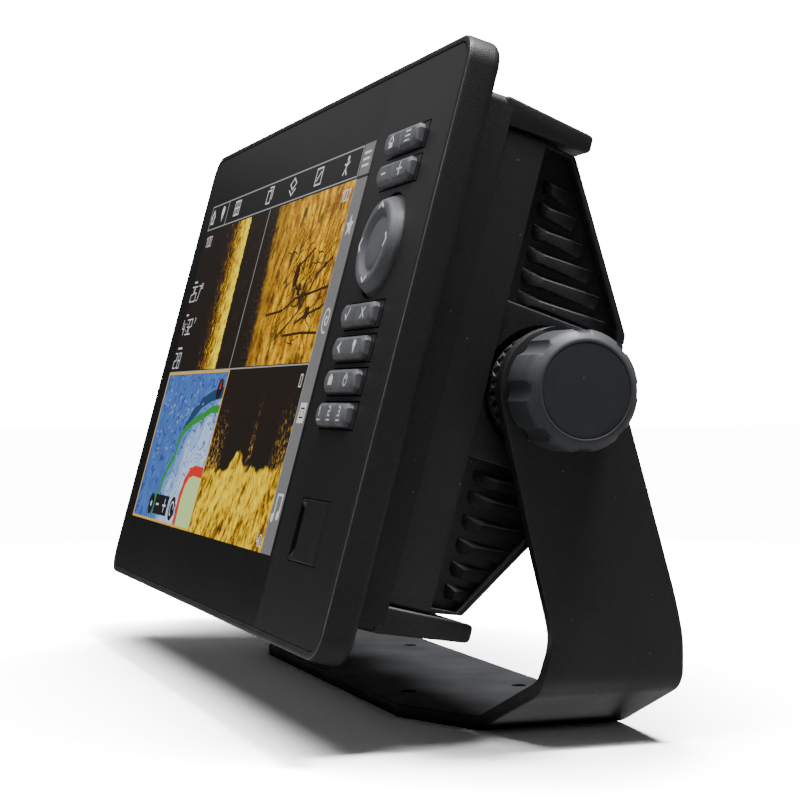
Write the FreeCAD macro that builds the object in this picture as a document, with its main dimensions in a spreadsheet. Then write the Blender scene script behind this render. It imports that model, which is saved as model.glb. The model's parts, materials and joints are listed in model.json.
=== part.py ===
"""Chartplotter display on a tilting gimbal bracket, as a parametric document.

Two construction frames are used. The bracket is drawn in the row frame: X to the user's right,
+Z up, the front face looking towards -Y, origin at the centre of the base's hole pattern on the
base's underside. Everything on the display head is drawn upright in the head frame, whose origin
is the centre of the front face with Y as depth behind it, and is then leaned back about the pivot.
"""
import FreeCAD, Part
import Sketcher
import os
import re

doc = FreeCAD.newDocument("chartplotter")
V = FreeCAD.Vector

# Driving dimensions, in millimetres and degrees.
DIMENSIONS = (
    ("rest_tilt", 15), ("pivot_y", -7), ("pivot_z", 104.5), ("pivot_depth", 53),
    ("face_w", 303), ("face_h", 184), ("rim_depth", 10.5), ("seam_depth", 21.5), ("corner_rad", 9),
    ("panel_w", 298.4), ("panel_h", 179.4), ("panel_t", 2.2), ("panel_sink", 0.2), ("panel_split", 84.5),
    ("case_w", 278.6), ("case_h", 161), ("wall_w", 276.6), ("hump_w", 274),
    ("flange_end", 48.5), ("flange_end_h", 153.6), ("flange_in_h", 143), ("wall_end", 34.5),
    ("hump_top", 70), ("hump_start", 45), ("hump_shoulder", 26), ("hump_depth", 75),
    ("fin_pitch", 6.9), ("fin_gap", 2.7), ("fin_deep", 4.2), ("fin_front", 39.4), ("recess_rad", 19.5),
    ("screen_w", 217), ("screen_h", 135.6), ("screen_x", -26.8), ("screen_z", 0.8),
    ("key_x", 115.4), ("key_w", 32.6), ("key_h", 8), ("key_out", 2.4), ("key_gap", 0.45), ("key_back", 2),
    ("pad_z", 31), ("pad_rad", 16), ("pad_top_rad", 13.6), ("pad_out", 4.8), ("dish_rad", 8.5), ("pad_gap", 0.6),
    ("door_x", 101.2), ("door_hinge_x", 127.6), ("door_hinge_y", 1.45), ("door_z", -57), ("door_h", 19), ("door_t", 1.9),
    ("plate_t", 4.4), ("base_y0", -32), ("base_y1", 32), ("base_x0", 77), ("base_x1", 109),
    ("hole_x", 55), ("hole_y", 20), ("hole_rad", 2.6), ("arm_x0", 145), ("arm_x1", 149.2),
    ("wing_z", 15.8), ("arm_rad", 18.8), ("stud_rad", 4), ("tooth_tip", 138.9), ("ring_rad", 17.2),
    ("knob_rad", 17.6), ("knob_x0", 149.9), ("knob_len", 14), ("knob_lip", 3.3), ("cap_rad", 13.7), ("grip_cut", 1.3),
)
sheet = doc.addObject("Spreadsheet::Sheet", "Dims")
for row, (alias, value) in enumerate(DIMENSIONS, start=1):
    sheet.set("A%d" % row, alias)
    sheet.set("B%d" % row, str(value))
    sheet.setAlias("B%d" % row, alias)
doc.recompute()
ALIASES = set(alias for alias, value in DIMENSIONS)
outputs = []


def formula(text):
    """An expression for FreeCAD: each dimension's name gets the sheet's name before it."""
    return re.sub(r"[a-z_]\w*", lambda m: "Dims." + m.group() if m.group() in ALIASES else m.group(), str(text))


def in_frame(item, frame):
    """Puts a finished piece in the row frame, the leaned head frame or the frame of the pivot."""
    if frame == "row":
        return
    if frame == "arm_pivot":
        item.setExpression("Placement.Base.y", formula("pivot_y"))
        item.setExpression("Placement.Base.z", formula("pivot_z"))
        return
    item.Placement = FreeCAD.Placement(V(0, 0, 0), FreeCAD.Rotation(V(1, 0, 0), -10))
    item.setExpression("Placement.Rotation.Angle", formula("-rest_tilt"))
    depth = "pivot_depth" if frame == "head" else "0"
    item.setExpression("Placement.Base.y", formula("pivot_y - %s * cos(rest_tilt)" % depth))
    item.setExpression("Placement.Base.z", formula("pivot_z + %s * sin(rest_tilt)" % depth))


def new_body(label, frame="head"):
    """A PartDesign body whose label is the piece's name."""
    body = doc.addObject("PartDesign::Body", label)
    body.Label = label
    in_frame(body, frame)
    outputs.append(body)
    return body


def plane(body, role):
    """One of the body's own origin planes or axes."""
    return [item for item in body.Origin.OriginFeatures if item.Role == role][0]


def draw(body, role, name, shapes, offset=0):
    """A sketch on an origin plane, holding circles (x, y, radius), boxes (x0, y0, x1, y1) and polygons."""
    sketch = body.newObject("Sketcher::SketchObject", name)
    sketch.AttachmentSupport = (plane(body, role), [""])
    sketch.MapMode = "FlatFace"
    sketch.setExpression("AttachmentOffset.Base.z", formula(offset))

    def hold(kind, geometry, point, value, start):
        index = sketch.addConstraint(Sketcher.Constraint(kind, -1, 1, geometry, point, start))
        sketch.setExpression("Constraints[%d]" % index, formula(value))

    for shape in shapes:
        first = sketch.GeometryCount
        if len(shape) == 3 and not isinstance(shape[0], tuple):
            sketch.addGeometry(Part.Circle(V(1, 1, 0), V(0, 0, 1), 1), False)
            hold("DistanceX", first, 3, shape[0], 1)
            hold("DistanceY", first, 3, shape[1], 1)
            index = sketch.addConstraint(Sketcher.Constraint("Radius", first, 1))
            sketch.setExpression("Constraints[%d]" % index, formula(shape[2]))
            continue
        if len(shape) == 4 and not isinstance(shape[0], tuple):
            x0, y0, x1, y1 = shape
            shape = ((x0, y0), (x1, y0), (x1, y1), (x0, y1))
        count = len(shape)
        ring = [V(3, 1, 0)]
        for index in range(1, count):
            turned = FreeCAD.Rotation(V(0, 0, 1), 360.0 * index / count).multVec(V(2, 0, 0))
            ring.append(turned + V(1, 1, 0))
        for index in range(count):
            sketch.addGeometry(Part.LineSegment(ring[index], ring[(index + 1) % count]), False)
        for index, (x, y) in enumerate(shape):
            following = first + (index + 1) % count
            sketch.addConstraint(Sketcher.Constraint("Coincident", first + index, 2, following, 1))
            hold("DistanceX", first + index, 1, x, ring[index].x)
            hold("DistanceY", first + index, 1, y, ring[index].y)
    return sketch


def extrude(body, kind, role, name, shapes, start, end):
    """A pad or a pocket of a sketch between two stations on the plane's positive row axis."""
    flipped = role == "XZ_Plane"
    offset = "-(%s)" % start if flipped else start
    sketch = draw(body, role, name + "_sketch", shapes, offset)
    feature = body.newObject("PartDesign::" + kind, name)
    feature.Profile = sketch
    feature.setExpression("Length", formula("(%s) - (%s)" % (end, start)))
    feature.Reversed = flipped if kind == "Pad" else not flipped
    return feature


def pad_y(body, name, shapes, start, end):
    return extrude(body, "Pad", "XZ_Plane", name, shapes, start, end)


def cut_y(body, name, shapes, start, end):
    return extrude(body, "Pocket", "XZ_Plane", name, shapes, start, end)


def pad_x(body, name, shapes, start, end):
    return extrude(body, "Pad", "YZ_Plane", name, shapes, start, end)


def cut_x(body, name, shapes, start, end):
    return extrude(body, "Pocket", "YZ_Plane", name, shapes, start, end)


def pad_z(body, name, shapes, start, end):
    return extrude(body, "Pad", "XY_Plane", name, shapes, start, end)


def cut_z(body, name, shapes, start, end):
    return extrude(body, "Pocket", "XY_Plane", name, shapes, start, end)


def revolve_x(body, name, outline):
    """A solid of revolution about X: the outline gives (x, radius) points."""
    sketch = draw(body, "XY_Plane", name + "_sketch", [outline])
    feature = body.newObject("PartDesign::Revolution", name)
    feature.Profile = sketch
    feature.ReferenceAxis = (sketch, ["H_Axis"])
    feature.Angle = 360
    return feature


def dress(body, kind, name, size, chosen):
    """A fillet or chamfer on the edges of the body so far that pass the test."""
    doc.recompute()
    base = body.Tip
    names = []
    for number, edge in enumerate(base.Shape.Edges, start=1):
        if chosen(edge):
            names.append("Edge%d" % number)
    feature = body.newObject("PartDesign::" + kind, name)
    feature.Base = (base, names)
    feature.setExpression("Radius" if kind == "Fillet" else "Size", formula(size))
    return feature


def runs_along(edge, axis):
    """Whether an edge is straight and parallel to a row axis (0, 1 or 2)."""
    if not isinstance(edge.Curve, Part.Line):
        return False
    return abs(abs(edge.Curve.Direction[axis]) - 1) < 1e-6


def local_points(edge):
    return [vertex.Point for vertex in edge.Vertexes]


def block(name, x0, y0, z0, x1, y1, z1):
    """A primitive box between two corners."""
    item = doc.addObject("Part::Box", name)
    item.setExpression("Length", formula("(%s) - (%s)" % (x1, x0)))
    item.setExpression("Width", formula("(%s) - (%s)" % (y1, y0)))
    item.setExpression("Height", formula("(%s) - (%s)" % (z1, z0)))
    item.setExpression("Placement.Base.x", formula(x0))
    item.setExpression("Placement.Base.y", formula(y0))
    item.setExpression("Placement.Base.z", formula(z0))
    return item


def rod(name, axis, x, y, z, radius, length):
    """A primitive cylinder that starts at a point and runs along +X, +Y or +Z."""
    item = doc.addObject("Part::Cylinder", name)
    turns = {"x": FreeCAD.Rotation(V(0, 1, 0), 90), "y": FreeCAD.Rotation(V(1, 0, 0), -90), "z": FreeCAD.Rotation()}
    item.Placement = FreeCAD.Placement(V(0, 0, 0), turns[axis])
    item.setExpression("Radius", formula(radius))
    item.setExpression("Height", formula(length))
    item.setExpression("Placement.Base.x", formula(x))
    item.setExpression("Placement.Base.y", formula(y))
    item.setExpression("Placement.Base.z", formula(z))
    return item


def group(label, items, frame="head"):
    """Several separate solids that share one node."""
    item = doc.addObject("Part::Compound", label)
    item.Label = label
    item.Links = items
    in_frame(item, frame)
    outputs.append(item)
    return item


SIDES = (("right", 1), ("left", -1))

# ---------------------------------------------------------------- gimbal bracket
# One bent plate: a flat base with cropped corners, a sloping wing each side and two boomerang arms.
bracket = new_body("gimbal_bracket", "row")
pad_z(bracket, "base_plate", [(
    ("-base_x1", "base_y1"), ("-base_x1", "-16.5"), ("-base_x0", "base_y0"),
    ("base_x0", "base_y0"), ("base_x1", "-16.5"), ("base_x1", "base_y1"))], 0, "plate_t")
for side, sign in SIDES:
    wing = (
        ("%d * (base_x1 - 1)" % sign, "0"), ("%d * base_x1" % sign, "0"), ("%d * arm_x1" % sign, "wing_z"),
        ("%d * arm_x0" % sign, "wing_z + 4.6"), ("%d * (base_x1 - 1)" % sign, "plate_t"))
    # Sketches on the XZ plane look along -Y, and their own x axis still runs along +X.
    pad_y(bracket, "wing_" + side, [wing], "-16.5", "base_y1 + 1")
    start, end = ("arm_x0", "arm_x1") if sign > 0 else ("-arm_x1", "-arm_x0")
    arm = (
        ("-13.2", "wing_z - 1"), ("31", "wing_z - 1"), ("base_y1 + 1", "wing_z + 3"), ("base_y1 + 1", "32"),
        ("30.4", "44"), ("pivot_y + 18.1", "pivot_z + 5.2"), ("pivot_y", "pivot_z"),
        ("pivot_y - 18.45", "pivot_z - 3.7"), ("-15.4", "58"), ("-8.9", "32"), ("-12.6", "wing_z + 5"))
    pad_x(bracket, "arm_" + side, [arm], start, end)
    pad_x(bracket, "arm_end_" + side, [("pivot_y", "pivot_z", "arm_rad")], start, end)
    bore_start, bore_end = ("arm_x0 - 1", "arm_x1 + 1") if sign > 0 else ("-arm_x1 - 1", "-arm_x0 + 1")
    cut_x(bracket, "pivot_bore_" + side, [("pivot_y", "pivot_z", "stud_rad + 0.6")], bore_start, bore_end)
crops = []
for sign in (1, -1):
    crops.append((
        ("%d * base_x1" % sign, "-16.6"), ("%d * (arm_x1 + 1)" % sign, "-12.5"),
        ("%d * (arm_x1 + 1)" % sign, "-20"), ("%d * base_x1" % sign, "-20")))
cut_z(bracket, "wing_fronts", crops, "-1", "wing_z + 4")
holes = []
for x in (-1, 1):
    for y in (-1, 1):
        holes.append(("%d * hole_x" % x, "%d * hole_y" % y, "hole_rad"))
cut_z(bracket, "base_holes", holes, "-1", "plate_t + 1")


def base_corner(edge):
    return runs_along(edge, 2) and abs(edge.Vertexes[0].Point.z + edge.Vertexes[1].Point.z - 4.4) < 0.1 \
        and abs(edge.Vertexes[0].Point.x) < 80


dress(bracket, "Fillet", "base_corners", "3", base_corner)


def arm_outline(edge):
    return runs_along(edge, 0) and edge.Length < 4.5 and edge.Vertexes[0].Point.z > 25 \
        and edge.Vertexes[0].Point.z < 60


dress(bracket, "Fillet", "arm_corners", "6", arm_outline)

# ---------------------------------------------------------------- ratchet rings
# A toothed ring on each arm faces a toothed ring on the case; their tips stand just clear of each other.
for where, frame, base_x, face_x in (
        ("head", "pivot", "tooth_tip - 6", "tooth_tip - 2.2"),
        ("bracket", "arm_pivot", "arm_x0", "tooth_tip + 2.6")):
    for side, sign in SIDES:
        ring = new_body("%s_ratchet_%s" % (where, side), frame)
        revolve_x(ring, "%s_ring_%s" % (where, side), (
            ("%d * (%s)" % (sign, base_x), "stud_rad + 3.5"), ("%d * (%s)" % (sign, face_x), "stud_rad + 3.5"),
            ("%d * (%s)" % (sign, face_x), "ring_rad"), ("%d * (%s)" % (sign, base_x), "ring_rad")))
        reach = "tooth_tip" if where == "head" else "tooth_tip + 0.4"
        root = "tooth_tip - 2.3" if where == "head" else "tooth_tip + 2.7"
        tooth = pad_y(ring, "%s_tooth_%s" % (where, side), [(
            ("%d * (%s)" % (sign, root), "-1.15"), ("%d * (%s)" % (sign, reach), "0"),
            ("%d * (%s)" % (sign, root), "1.15"))], "12.6", "ring_rad - 0.02")
        doc.recompute()
        pattern = ring.newObject("PartDesign::PolarPattern", "%s_teeth_%s" % (where, side))
        pattern.Originals = [tooth]
        pattern.Axis = (plane(ring, "X_Axis"), [""])
        pattern.Angle = 360
        pattern.Occurrences = 32
        ring.Tip = pattern

# ---------------------------------------------------------------- clamp knobs
for side, sign in SIDES:
    knob = new_body("knob_" + side, "pivot")
    s = "%d * " % sign
    revolve_x(knob, "knob_turned_" + side, (
        (s + "knob_x0", "stud_rad"), (s + "knob_x0", "knob_rad - 0.6"), (s + "(knob_x0 + 1)", "knob_rad"),
        (s + "(knob_x0 + knob_len)", "knob_rad"), (s + "(knob_x0 + knob_len + knob_lip * 0.55)", "knob_rad - 1.3"),
        (s + "(knob_x0 + knob_len + knob_lip)", "cap_rad"), (s + "(knob_x0 + knob_len + knob_lip - 1.5)", "cap_rad"),
        (s + "(knob_x0 + knob_len + knob_lip - 1.5)", "stud_rad")))
    ends = ("knob_x0 - 1", "knob_x0 + knob_len + 1") if sign > 0 else ("-knob_x0 - knob_len - 1", "-knob_x0 + 1")
    grip = cut_x(knob, "grip_" + side, [("knob_rad + 4.5 - grip_cut", "0", "4.5")], *ends)
    doc.recompute()
    pattern = knob.newObject("PartDesign::PolarPattern", "grips_" + side)
    pattern.Originals = [grip]
    pattern.Axis = (plane(knob, "X_Axis"), [""])
    pattern.Angle = 360
    pattern.Occurrences = 8
    knob.Tip = pattern
    cap = new_body("knob_cap_" + side, "pivot")
    revolve_x(cap, "cap_disc_" + side, (
        (s + "(knob_x0 + knob_len + knob_lip - 1.5)", "0"), (s + "(knob_x0 + knob_len + knob_lip - 1.5)", "cap_rad"),
        (s + "(knob_x0 + knob_len + knob_lip - 0.1)", "cap_rad"), (s + "(knob_x0 + knob_len + knob_lip - 0.1)", "0")))
    stud = new_body("knob_stud_" + side, "pivot")
    revolve_x(stud, "stud_bar_" + side, (
        (s + "120", "0"), (s + "120", "stud_rad - 0.7"), (s + "120.7", "stud_rad"),
        (s + "(knob_x0 + knob_len)", "stud_rad"), (s + "(knob_x0 + knob_len)", "0")))
    washer = new_body("knob_washer_" + side, "pivot")
    revolve_x(washer, "washer_disc_" + side, (
        (s + "(arm_x1 + 0.3)", "stud_rad"), (s + "(arm_x1 + 0.3)", "stud_rad + 7"),
        (s + "knob_x0", "stud_rad + 7"), (s + "knob_x0", "stud_rad")))
    insert = new_body("pivot_insert_" + side, "pivot")
    revolve_x(insert, "insert_turned_" + side, (
        (s + "117", "stud_rad + 0.05"), (s + "117", "stud_rad + 3"), (s + "133", "stud_rad + 3"),
        (s + "133", "stud_rad + 0.05")))

# ---------------------------------------------------------------- front bezel
bezel = new_body("front_bezel")
pad_y(bezel, "bezel_block", [("-face_w / 2", "-face_h / 2", "face_w / 2", "face_h / 2")], 0, "rim_depth")
dress(bezel, "Fillet", "bezel_corners", "corner_rad", lambda edge: runs_along(edge, 1))
dress(bezel, "Fillet", "rim_back", "2.8", lambda edge: min(p.y for p in local_points(edge)) > 10)
dress(bezel, "Chamfer", "rim_front", "1", lambda edge: max(p.y for p in local_points(edge)) < 0.1)
pad_y(bezel, "skirt", [
    ("-case_w / 2", "-case_h / 2", "case_w / 2", "case_h / 2")], "rim_depth - 0.5", "seam_depth")
cut_y(bezel, "panel_seat", [("-panel_w / 2", "-panel_h / 2", "panel_w / 2", "panel_h / 2")], "-1",
      "panel_sink + panel_t + 0.4")
cut_y(bezel, "screen_room", [("-145", "-84", "139", "84")], "2", "rim_depth - 1.5")
cut_y(bezel, "case_room", [("-136.3", "-77", "136.3", "77")], "rim_depth - 2", "seam_depth + 1")

# ---------------------------------------------------------------- front lens and keypad fascia
lens = new_body("front_lens")
pad_y(lens, "lens_sheet", [("-panel_w / 2 + 0.3", "-panel_h / 2 + 0.3", "panel_split", "panel_h / 2 - 0.3")],
      "panel_sink", "panel_sink + panel_t")
dress(lens, "Fillet", "lens_corners", "corner_rad - 2.5",
      lambda edge: runs_along(edge, 1) and edge.Vertexes[0].Point.x < -100)
fascia = new_body("keypad_fascia")
pad_y(fascia, "fascia_sheet", [("panel_split", "-panel_h / 2 + 0.3", "panel_w / 2 - 0.3", "panel_h / 2 - 0.3")],
      "panel_sink", "panel_sink + panel_t")
dress(fascia, "Fillet", "fascia_corners", "corner_rad - 2.5",
      lambda edge: runs_along(edge, 1) and edge.Vertexes[0].Point.x > 100)
KEYS = (
    ("home_menu_key", "63.8"), ("zoom_key", "53.6"), ("enter_exit_key", "9.2"),
    ("goto_mark_key", "-1.1"), ("camera_power_key", "-11.3"), ("preset_key", "-21.6"))
windows = []
for name, level in KEYS:
    windows.append((
        "key_x - key_w / 2 - key_gap", "(%s) - key_h / 2 - key_gap" % level,
        "key_x + key_w / 2 + key_gap", "(%s) + key_h / 2 + key_gap" % level))
windows.append(("door_x - 0.3", "door_z - door_h / 2 - 0.3", "door_hinge_x + 1.55", "door_z + door_h / 2 + 0.3"))
cut_y(fascia, "key_windows", windows, "-1", "panel_t + 1")
cut_y(fascia, "pad_window", [("key_x", "pad_z", "pad_rad + pad_gap")], "-1", "panel_t + 1")
adhesive = new_body("lens_adhesive")
pad_y(adhesive, "adhesive_sheet", [
    ("-panel_w / 2 + 2", "-panel_h / 2 + 2", "panel_w / 2 - 2", "panel_h / 2 - 2"), ("86", "-76", "137", "77"),
    ("screen_x - screen_w / 2 - 1.2", "screen_z - screen_h / 2 - 1.2",
     "screen_x + screen_w / 2 + 1.2", "screen_z + screen_h / 2 + 1.2")],
    "panel_sink + panel_t", "panel_sink + panel_t + 0.4")

# ---------------------------------------------------------------- screen stack
stack = (("lcd_panel", 2.8, 4.4, 2.6), ("lcd_backlight", 4.4, 7.2, 3.4))
for name, front, back, border in stack:
    item = new_body(name)
    pad_y(item, name + "_sheet", [(
        "screen_x - screen_w / 2 - %s" % border, "screen_z - screen_h / 2 - %s" % border,
        "screen_x + screen_w / 2 + %s" % border, "screen_z + screen_h / 2 + %s" % border)], front, back)
tray = new_body("lcd_tray")
pad_y(tray, "tray_block", [(
    "screen_x - screen_w / 2 - 4.6", "screen_z - screen_h / 2 - 4.6",
    "screen_x + screen_w / 2 + 4.6", "screen_z + screen_h / 2 + 4.6")], 4.5, 8.2)
cut_y(tray, "tray_hollow", [(
    "screen_x - screen_w / 2 - 3.8", "screen_z - screen_h / 2 - 3.8",
    "screen_x + screen_w / 2 + 3.8", "screen_z + screen_h / 2 + 3.8")], 4, 7.3)

# ---------------------------------------------------------------- keypad
# Each rocker key is one moulded cap with a V groove between its two halves.
for name, level in KEYS:
    key = new_body(name)
    middle = "(%s)" % level
    pad_y(key, name + "_cap", [(
        "key_x - key_w / 2", middle + " - key_h / 2", "key_x + key_w / 2", middle + " + key_h / 2")],
        "-key_out", "key_back")
    dress(key, "Chamfer", name + "_ends", "1.4", lambda edge: runs_along(edge, 1))
    dress(key, "Chamfer", name + "_top", "0.9", lambda edge: max(p.y for p in local_points(edge)) < -2.3)
    grooves = ["key_x"] if name != "preset_key" else ["key_x - 5.5", "key_x + 5.5"]
    profiles = []
    for place in grooves:
        profiles.append((
            (place + " - 1", "-key_out - 0.1"), (place + " + 1", "-key_out - 0.1"), (place, "-key_out + 1.1")))
    cut_z(key, name + "_groove", profiles, middle + " - key_h", middle + " + key_h")
pad = new_body("direction_pad")
pad_y(pad, "pad_skirt", [("key_x", "pad_z", "pad_rad")], "-1", "1.4")
pad_y(pad, "pad_dome", [("key_x", "pad_z", "pad_rad")], "-pad_out", "-1")
dress(pad, "Chamfer", "pad_slope", "pad_rad - pad_top_rad",
      lambda edge: max(p.y for p in local_points(edge)) < -4)
cut_y(pad, "pad_dish", [("key_x", "pad_z", "dish_rad + 2.2")], "-pad_out - 1", "-pad_out + 1")
pad_y(pad, "pad_post", [("key_x", "pad_z", "2.4")], "1.4", "1.9")
swivel = new_body("pad_swivel")
pad_y(swivel, "swivel_disc", [("key_x", "pad_z", "4")], "2.2", "2.9")
mat = new_body("key_sheet")
pad_y(mat, "mat_sheet", [("87", "-32", "134", "74")], "3.4", "4.4")
board = new_body("keypad_board")
pad_y(board, "keypad_board_sheet", [("87", "-34", "135", "76")], "5.1", "6.7")
domes = []
for index, (name, level) in enumerate(KEYS):
    for half, shift in (("a", -8), ("b", 8)):
        domes.append(rod("dome_%d%s" % (index, half), "y", "key_x + (%d)" % shift, "4.5", level, "2.4", "0.6"))
for index, (x, z) in enumerate(((11, 0), (-11, 0), (0, 11), (0, -11))):
    domes.append(rod("dome_pad_%d" % index, "y", "key_x + (%d)" % x, "4.5", "pad_z + (%d)" % z, "2.4", "0.6"))
group("key_domes", domes)

# ---------------------------------------------------------------- card door, bay and reader
door = new_body("card_door")
pad_y(door, "door_leaf", [(
    "door_x", "door_z - door_h / 2", "door_hinge_x", "door_z + door_h / 2")], "panel_sink", "panel_sink + door_t")
pad_z(door, "door_knuckle", [("door_hinge_x", "door_hinge_y", "1.25")], "door_z - door_h / 2", "door_z + door_h / 2")
cut_y(door, "door_scoop", [(
    ("door_x - 1", "door_z - 6.5"), ("door_x + 5", "door_z - 5"), ("door_x + 5", "door_z + 5"),
    ("door_x - 1", "door_z + 6.5"))], "-1", "panel_sink + 1.1")
cut_z(door, "door_bore", [("door_hinge_x", "door_hinge_y", "0.65")], "door_z - door_h", "door_z + door_h")
rod_pin = rod("door_pin_bar", "z", "door_hinge_x", "door_hinge_y", "door_z - door_h / 2 - 0.3", "0.6", "door_h + 0.6")
group("card_door_pin", [rod_pin])
bay = new_body("card_bay")
pad_y(bay, "bay_block", [("98.8", "-68.5", "125.9", "-45.5")], "2.8", "21.4")
cut_y(bay, "bay_hollow", [("101.2", "-66.2", "123.8", "-47.8")], "1", "12")
cut_y(bay, "bay_slots", [("103.6", "-62.6", "121.4", "-60.4"), ("103.6", "-53.6", "121.4", "-51.4")], "11", "20.5")
seal = new_body("card_door_seal")
pad_y(seal, "seal_ring", [
    ("99.2", "-68.1", "125.5", "-45.9"), ("101.2", "-66.2", "123.8", "-47.8")], "2.45", "2.8")
reader = new_body("card_reader")
pad_y(reader, "reader_body", [("103", "-67", "122.6", "-47")], "21.4", "27")

# ---------------------------------------------------------------- rear case
case = new_body("rear_case")
profile = (
    ("seam_depth", "-case_h / 2 + 0.4"), ("flange_end", "-flange_end_h / 2"), ("flange_end", "-flange_in_h / 2"),
    ("hump_start", "-hump_top"), ("hump_depth - 2", "-hump_shoulder"), ("hump_depth", "-hump_shoulder + 5"),
    ("hump_depth", "hump_shoulder - 5"), ("hump_depth - 2", "hump_shoulder"), ("hump_start", "hump_top"),
    ("flange_end", "flange_in_h / 2"), ("flange_end", "flange_end_h / 2"), ("seam_depth", "case_h / 2 - 0.4"))
pad_x(case, "case_hump", [profile], "-hump_w / 2", "hump_w / 2")
pad_x(case, "case_walls", [("seam_depth", "-flange_in_h / 2", "wall_end", "flange_in_h / 2")],
      "-wall_w / 2", "wall_w / 2")
for level, sign in (("top", 1), ("bottom", -1)):
    pad_x(case, "flange_" + level, [(
        ("seam_depth", "%d * (case_h / 2 - 0.4)" % sign), ("flange_end", "%d * flange_end_h / 2" % sign),
        ("flange_end", "%d * flange_in_h / 2" % sign), ("seam_depth", "%d * flange_in_h / 2" % sign))],
        "-case_w / 2", "case_w / 2")
cut_x(case, "case_hollow", [(
    ("seam_depth - 1", "-68"), ("42", "-67"), ("hump_depth - 4.5", "-hump_shoulder + 2"),
    ("hump_depth - 4.5", "hump_shoulder - 2"), ("42", "67"), ("seam_depth - 1", "68"))], "-128.5", "128.5")
for side, sign in SIDES:
    outer, inner = "hump_w / 2 + 2", "hump_w / 2 - fin_deep"
    ends = (inner, outer) if sign > 0 else ("-(%s)" % outer, "-(%s)" % inner)
    gaps = []
    for step in range(7):
        level = "(61.6 + 2.2 + fin_gap / 2 - fin_pitch * %d)" % step
        reach = "(hump_start + (hump_top - %s) * 0.65 - 5)" % level
        gaps.append(("fin_front", level + " - fin_gap / 2", reach, level + " + fin_gap / 2"))
    for step in range(6):
        level = "(-68.6 + 2.2 + fin_gap / 2 + fin_pitch * %d)" % step
        reach = "(hump_start + (hump_top + %s) * 0.65 - 5)" % level
        gaps.append(("fin_front", level + " - fin_gap / 2", reach, level + " + fin_gap / 2"))
    cut_x(case, "side_fins_" + side, gaps, *ends)
    ends = ("tooth_tip - 6", "wall_w / 2 + 1") if sign > 0 else ("-wall_w / 2 - 1", "-(tooth_tip - 6)")
    cut_x(case, "pivot_recess_" + side, [("pivot_depth", "0", "recess_rad")], *ends)
    # A boss inside the case holds the pivot insert.
    ends = ("112", "129") if sign > 0 else ("-129", "-112")
    pad_x(case, "pivot_boss_" + side, [("pivot_depth", "0", "stud_rad + 7")], *ends)
    ends = ("117", "137") if sign > 0 else ("-137", "-117")
    cut_x(case, "insert_seat_" + side, [("pivot_depth", "0", "stud_rad + 3")], *ends)
SOCKETS = (("power_socket", "-44", "10"), ("sonar_socket", "0", "10"), ("network_socket", "44", "8"))
for name, x, radius in SOCKETS:
    cut_y(case, name + "_hole", [(x, "0", radius)], "hump_depth - 8", "hump_depth + 1")
cut_y(case, "vent_hole", [("80", "0", "4")], "hump_depth - 8", "hump_depth + 1")

gasket = new_body("case_gasket")
pad_y(gasket, "gasket_ring", [
    ("-135.9", "-76.6", "135.9", "76.6"), ("-131.5", "-72.2", "131.5", "72.2")], "seam_depth - 2.4", "seam_depth")
screws = []
for index, x in enumerate((-120, -40, 40, 120)):
    for level, sign in (("top", 1), ("bottom", -1)):
        tag = "%s_%d" % (level, index)
        screws.append(rod("case_screw_" + tag, "y", x, "flange_end - 5", "%d * 74.2" % sign, "1.9", "5.4"))
group("case_screws", screws)
pockets = []
for index, x in enumerate((-120, -40, 40, 120)):
    for sign in (1, -1):
        pockets.append((str(x), "%d * 74.2" % sign, "1.9"))
cut_y(case, "screw_seats", pockets, "flange_end - 5", "flange_end + 1")

# ---------------------------------------------------------------- sockets on the back
for name, x, radius in SOCKETS:
    socket = new_body(name)
    pad_y(socket, name + "_barrel", [(x, "0", radius)], "hump_depth - 9", "hump_depth + 5")
    cut_y(socket, name + "_well", [(x, "0", radius + " - 1.8")], "hump_depth - 7", "hump_depth + 6")
pins = []
for name, x, radius in SOCKETS:
    for index, (px, pz) in enumerate(((-2.6, 0), (2.6, 0), (0, 2.6), (0, -2.6))):
        pins.append(rod("%s_pin_%d" % (name, index), "y", "%s + %s" % (x, px), "hump_depth - 7", pz, "0.6", "6"))
group("socket_pins", pins)
vent = new_body("vent_plug")
pad_y(vent, "vent_body", [("80", "0", "4")], "hump_depth - 8", "hump_depth + 1.2")
dress(vent, "Chamfer", "vent_edge", "0.8", lambda edge: min(p.y for p in local_points(edge)) > 76)

# ---------------------------------------------------------------- boards inside
spreader = new_body("heat_spreader")
pad_y(spreader, "spreader_sheet", [("-125", "-62", "82", "62")], "11", "13")
main = new_body("main_board")
pad_y(main, "main_sheet", [("-120", "-58", "78", "58")], "17", "18.6")
chips = [
    block("processor", "-40", "15", "-9", "-22", "17", "9"),
    block("memory_a", "-16", "15.6", "-8", "-4", "17", "8"),
    block("memory_b", "0", "15.6", "-8", "12", "17", "8"),
    block("power_chip", "-72", "15.8", "-6", "-60", "17", "6")]
group("board_chips", chips)
heat_pad = new_body("processor_heat_pad")
pad_y(heat_pad, "heat_pad_sheet", [("-41", "-10", "-21", "10")], "13", "15")
shield = new_body("shield_can")
pad_y(shield, "shield_block", [("20", "-30", "60", "20")], "14", "17")
cut_y(shield, "shield_hollow", [("20.4", "-29.6", "59.6", "19.6")], "14.4", "18")
antenna = new_body("gps_antenna")
pad_y(antenna, "antenna_patch", [("-74", "30", "-49", "47")], "18.6", "23")
buzzer = new_body("buzzer")
pad_y(buzzer, "buzzer_can", [("62", "-44", "6")], "18.6", "24")
sonar = new_body("sonar_board")
pad_y(sonar, "sonar_sheet", [("-95", "-50", "15", "50")], "32", "33.6")
coils = []
for index, (x, z) in enumerate(((-75, -25), (-50, -25), (-75, 20), (-50, 20))):
    coils.append(rod("coil_%d" % index, "y", x, "33.6", z, "9", "10"))
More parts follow.
